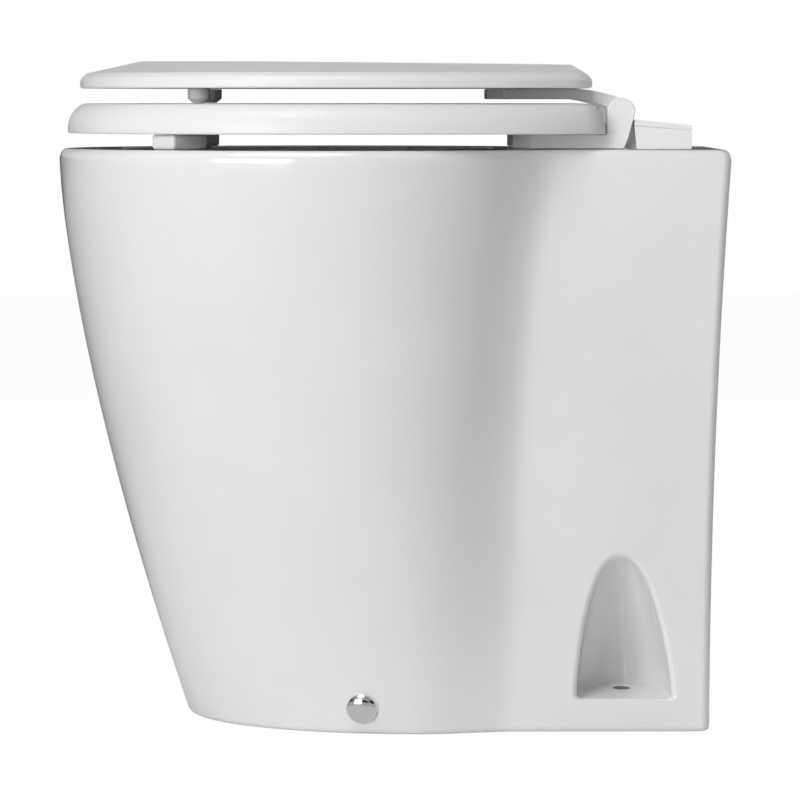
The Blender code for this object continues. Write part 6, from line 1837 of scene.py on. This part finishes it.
def make_inlet():
    """The flanged spud in the boss behind the bowl, on its gasket."""
    axis = Vector((0, 0, INLET_Z))
    front, back = along("inlet_gasket")
    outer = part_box("inlet_gasket")[1].x
    profile = [(outer, front), (outer, back), (INLET_HOLE_RADIUS, back), (INLET_HOLE_RADIUS, front)]
    turned_piece("inlet_gasket", profile, axis, ALONG_Y, edge=0.0004)
    flange_low = back + GAP
    flange_high = flange_low + SPUD_FLANGE_THICKNESS
    front, back = along("inlet_spud")
    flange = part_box("inlet_spud")[1].x
    neck = INLET_HOLE_RADIUS - GAP
    profile = [(SPUD_TAIL_RADIUS, back), (SPUD_TAIL_RADIUS, flange_high), (flange, flange_high),
               (flange, flange_low), (neck, flange_low), (neck, front), (SPUD_BORE, front),
               (SPUD_BORE, back)]
    turned_piece("inlet_spud", profile, axis, ALONG_Y, edge=0.0005)


def make_valve():
    """Valve body on the spud, with the coil and its plunger hanging below."""
    front, back = along("valve_body")
    spud_end = along("inlet_spud")[1]
    stem_y = middle("coil").y
    low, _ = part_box("valve_body")
    body_end = back - VALVE_TAIL_LENGTH
    profile = [(VALVE_RADIUS, front), (VALVE_RADIUS, body_end), (VALVE_TAIL_RADIUS, body_end)]
    level = body_end + BARB_START
    foot = VALVE_TAIL_RADIUS - BARB_DEPTH
    down, floor, up = BARB_LEVELS
    for _ in range(BARBS):
        profile += [(VALVE_TAIL_RADIUS, level), (foot, level + down), (foot, level + floor),
                    (VALVE_TAIL_RADIUS, level + up)]
        level += BARB_PITCH
    profile += [(VALVE_TAIL_RADIUS - VALVE_TAIL_CHAMFER, back), (VALVE_BORE, back),
                (VALVE_BORE, spud_end + GAP), (SPUD_TAIL_RADIUS + GAP, spud_end + GAP),
                (SPUD_TAIL_RADIUS + GAP, front)]
    body = turned("valve_body_moulding", profile, (0, 0, INLET_Z), ALONG_Y, 72)
    stem = rod("valve_stem", VALVE_STEM_RADIUS, (0, stem_y, low.z), UP, INLET_Z + GAP - low.z, 72)
    cut(body, [stem], "UNION")
    bore_length = back - spud_end + OVERRUN
    chamber_start = (0, stem_y, low.z - OVERRUN)
    chamber_length = INLET_Z - GAP - low.z + OVERRUN
    cut(body, [rod("valve_bore", VALVE_BORE + GAP, (0, spud_end, INLET_Z), ALONG_Y, bore_length, 56),
               rod("valve_chamber", GUIDE_RADIUS + GAP, chamber_start, UP, chamber_length, 56)])
    complete(body, "valve_body", "pan_body", 0.0007, 2)

    place = (0, stem_y, 0)
    low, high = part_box("guide_tube")
    flange_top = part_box("valve_body")[0].z - GAP
    flange_low = flange_top - GUIDE_FLANGE_THICKNESS
    inner = GUIDE_RADIUS - GUIDE_WALL
    floor = low.z + GUIDE_WALL
    profile = [(0, floor), (inner, floor), (inner, high.z), (GUIDE_RADIUS, high.z),
               (GUIDE_RADIUS, flange_top), (GUIDE_FLANGE_RADIUS, flange_top),
               (GUIDE_FLANGE_RADIUS, flange_low), (GUIDE_RADIUS, flange_low),
               (GUIDE_RADIUS, low.z), (0, low.z)]
    turned_piece("guide_tube", profile, place, UP, edge=0.0003)
    low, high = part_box("coil")
    outer = high.x
    bore = GUIDE_RADIUS + GAP
    waist = outer - COIL_RIB
    cheek = COIL_CHEEK
    slope = COIL_RIB / 2
    profile = [(bore, low.z), (outer, low.z), (outer, low.z + cheek), (waist, low.z + cheek + slope),
               (waist, high.z - cheek - slope), (outer, high.z - cheek), (outer, high.z), (bore, high.z)]
    turned_piece("coil", profile, place, UP, edge=0.0005, steps=72)
    low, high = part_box("coil_clip")
    profile = [(bore, low.z), (high.x, low.z), (high.x, high.z), (bore, high.z)]
    turned_piece("coil_clip", profile, place, UP, edge=0.0005)
    low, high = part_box("plunger")
    turned_piece("plunger", pin_profile(high.x, low.z, high.z, PLUNGER_EDGE), place, UP, "plunger_body")
    make_spring(place)


def make_spring(place):
    """The return spring, a ring of wire spun along its screw line, which the plunger presses together."""
    low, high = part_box("plunger_spring")
    bpy.ops.mesh.primitive_circle_add(vertices=14, radius=SPRING_WIRE, fill_type="NGON")
    spring = new_piece("plunger_spring_coiling")
    spring.rotation_euler = (math.pi / 2, 0, 0)
    spring.location = (SPRING_RADIUS, 0, low.z + SPRING_WIRE)
    apply_place(spring)
    steps = SPRING_TURNS * SPRING_TURN_STEPS
    apply_modifier(spring, "SCREW", angle=2 * math.pi * SPRING_TURNS, axis="Z", steps=steps,
                   render_steps=steps, screw_offset=high.z - low.z - 2 * SPRING_WIRE,
                   use_normal_calculate=True)
    edit(spring, "SELECT")
    bpy.ops.mesh.remove_doubles(threshold=WELD)
    bpy.ops.mesh.select_all(action="DESELECT")
    bpy.ops.mesh.select_mode(type="EDGE")
    bpy.ops.mesh.select_non_manifold()
    bpy.ops.mesh.edge_face_add()
    bpy.ops.mesh.select_mode(type="VERT")
    bpy.ops.mesh.select_all(action="SELECT")
    bpy.ops.mesh.normals_make_consistent(inside=False)
    object_mode()
    spring.location = place
    apply_place(spring)
    complete(spring, "plunger_spring", "pan_body")
    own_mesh(spring)


make_outlet()
discharge_port_y = make_pump()
make_rotor()
make_motor()
make_pump_base()
make_discharge(discharge_port_y)
make_inlet()
make_valve()
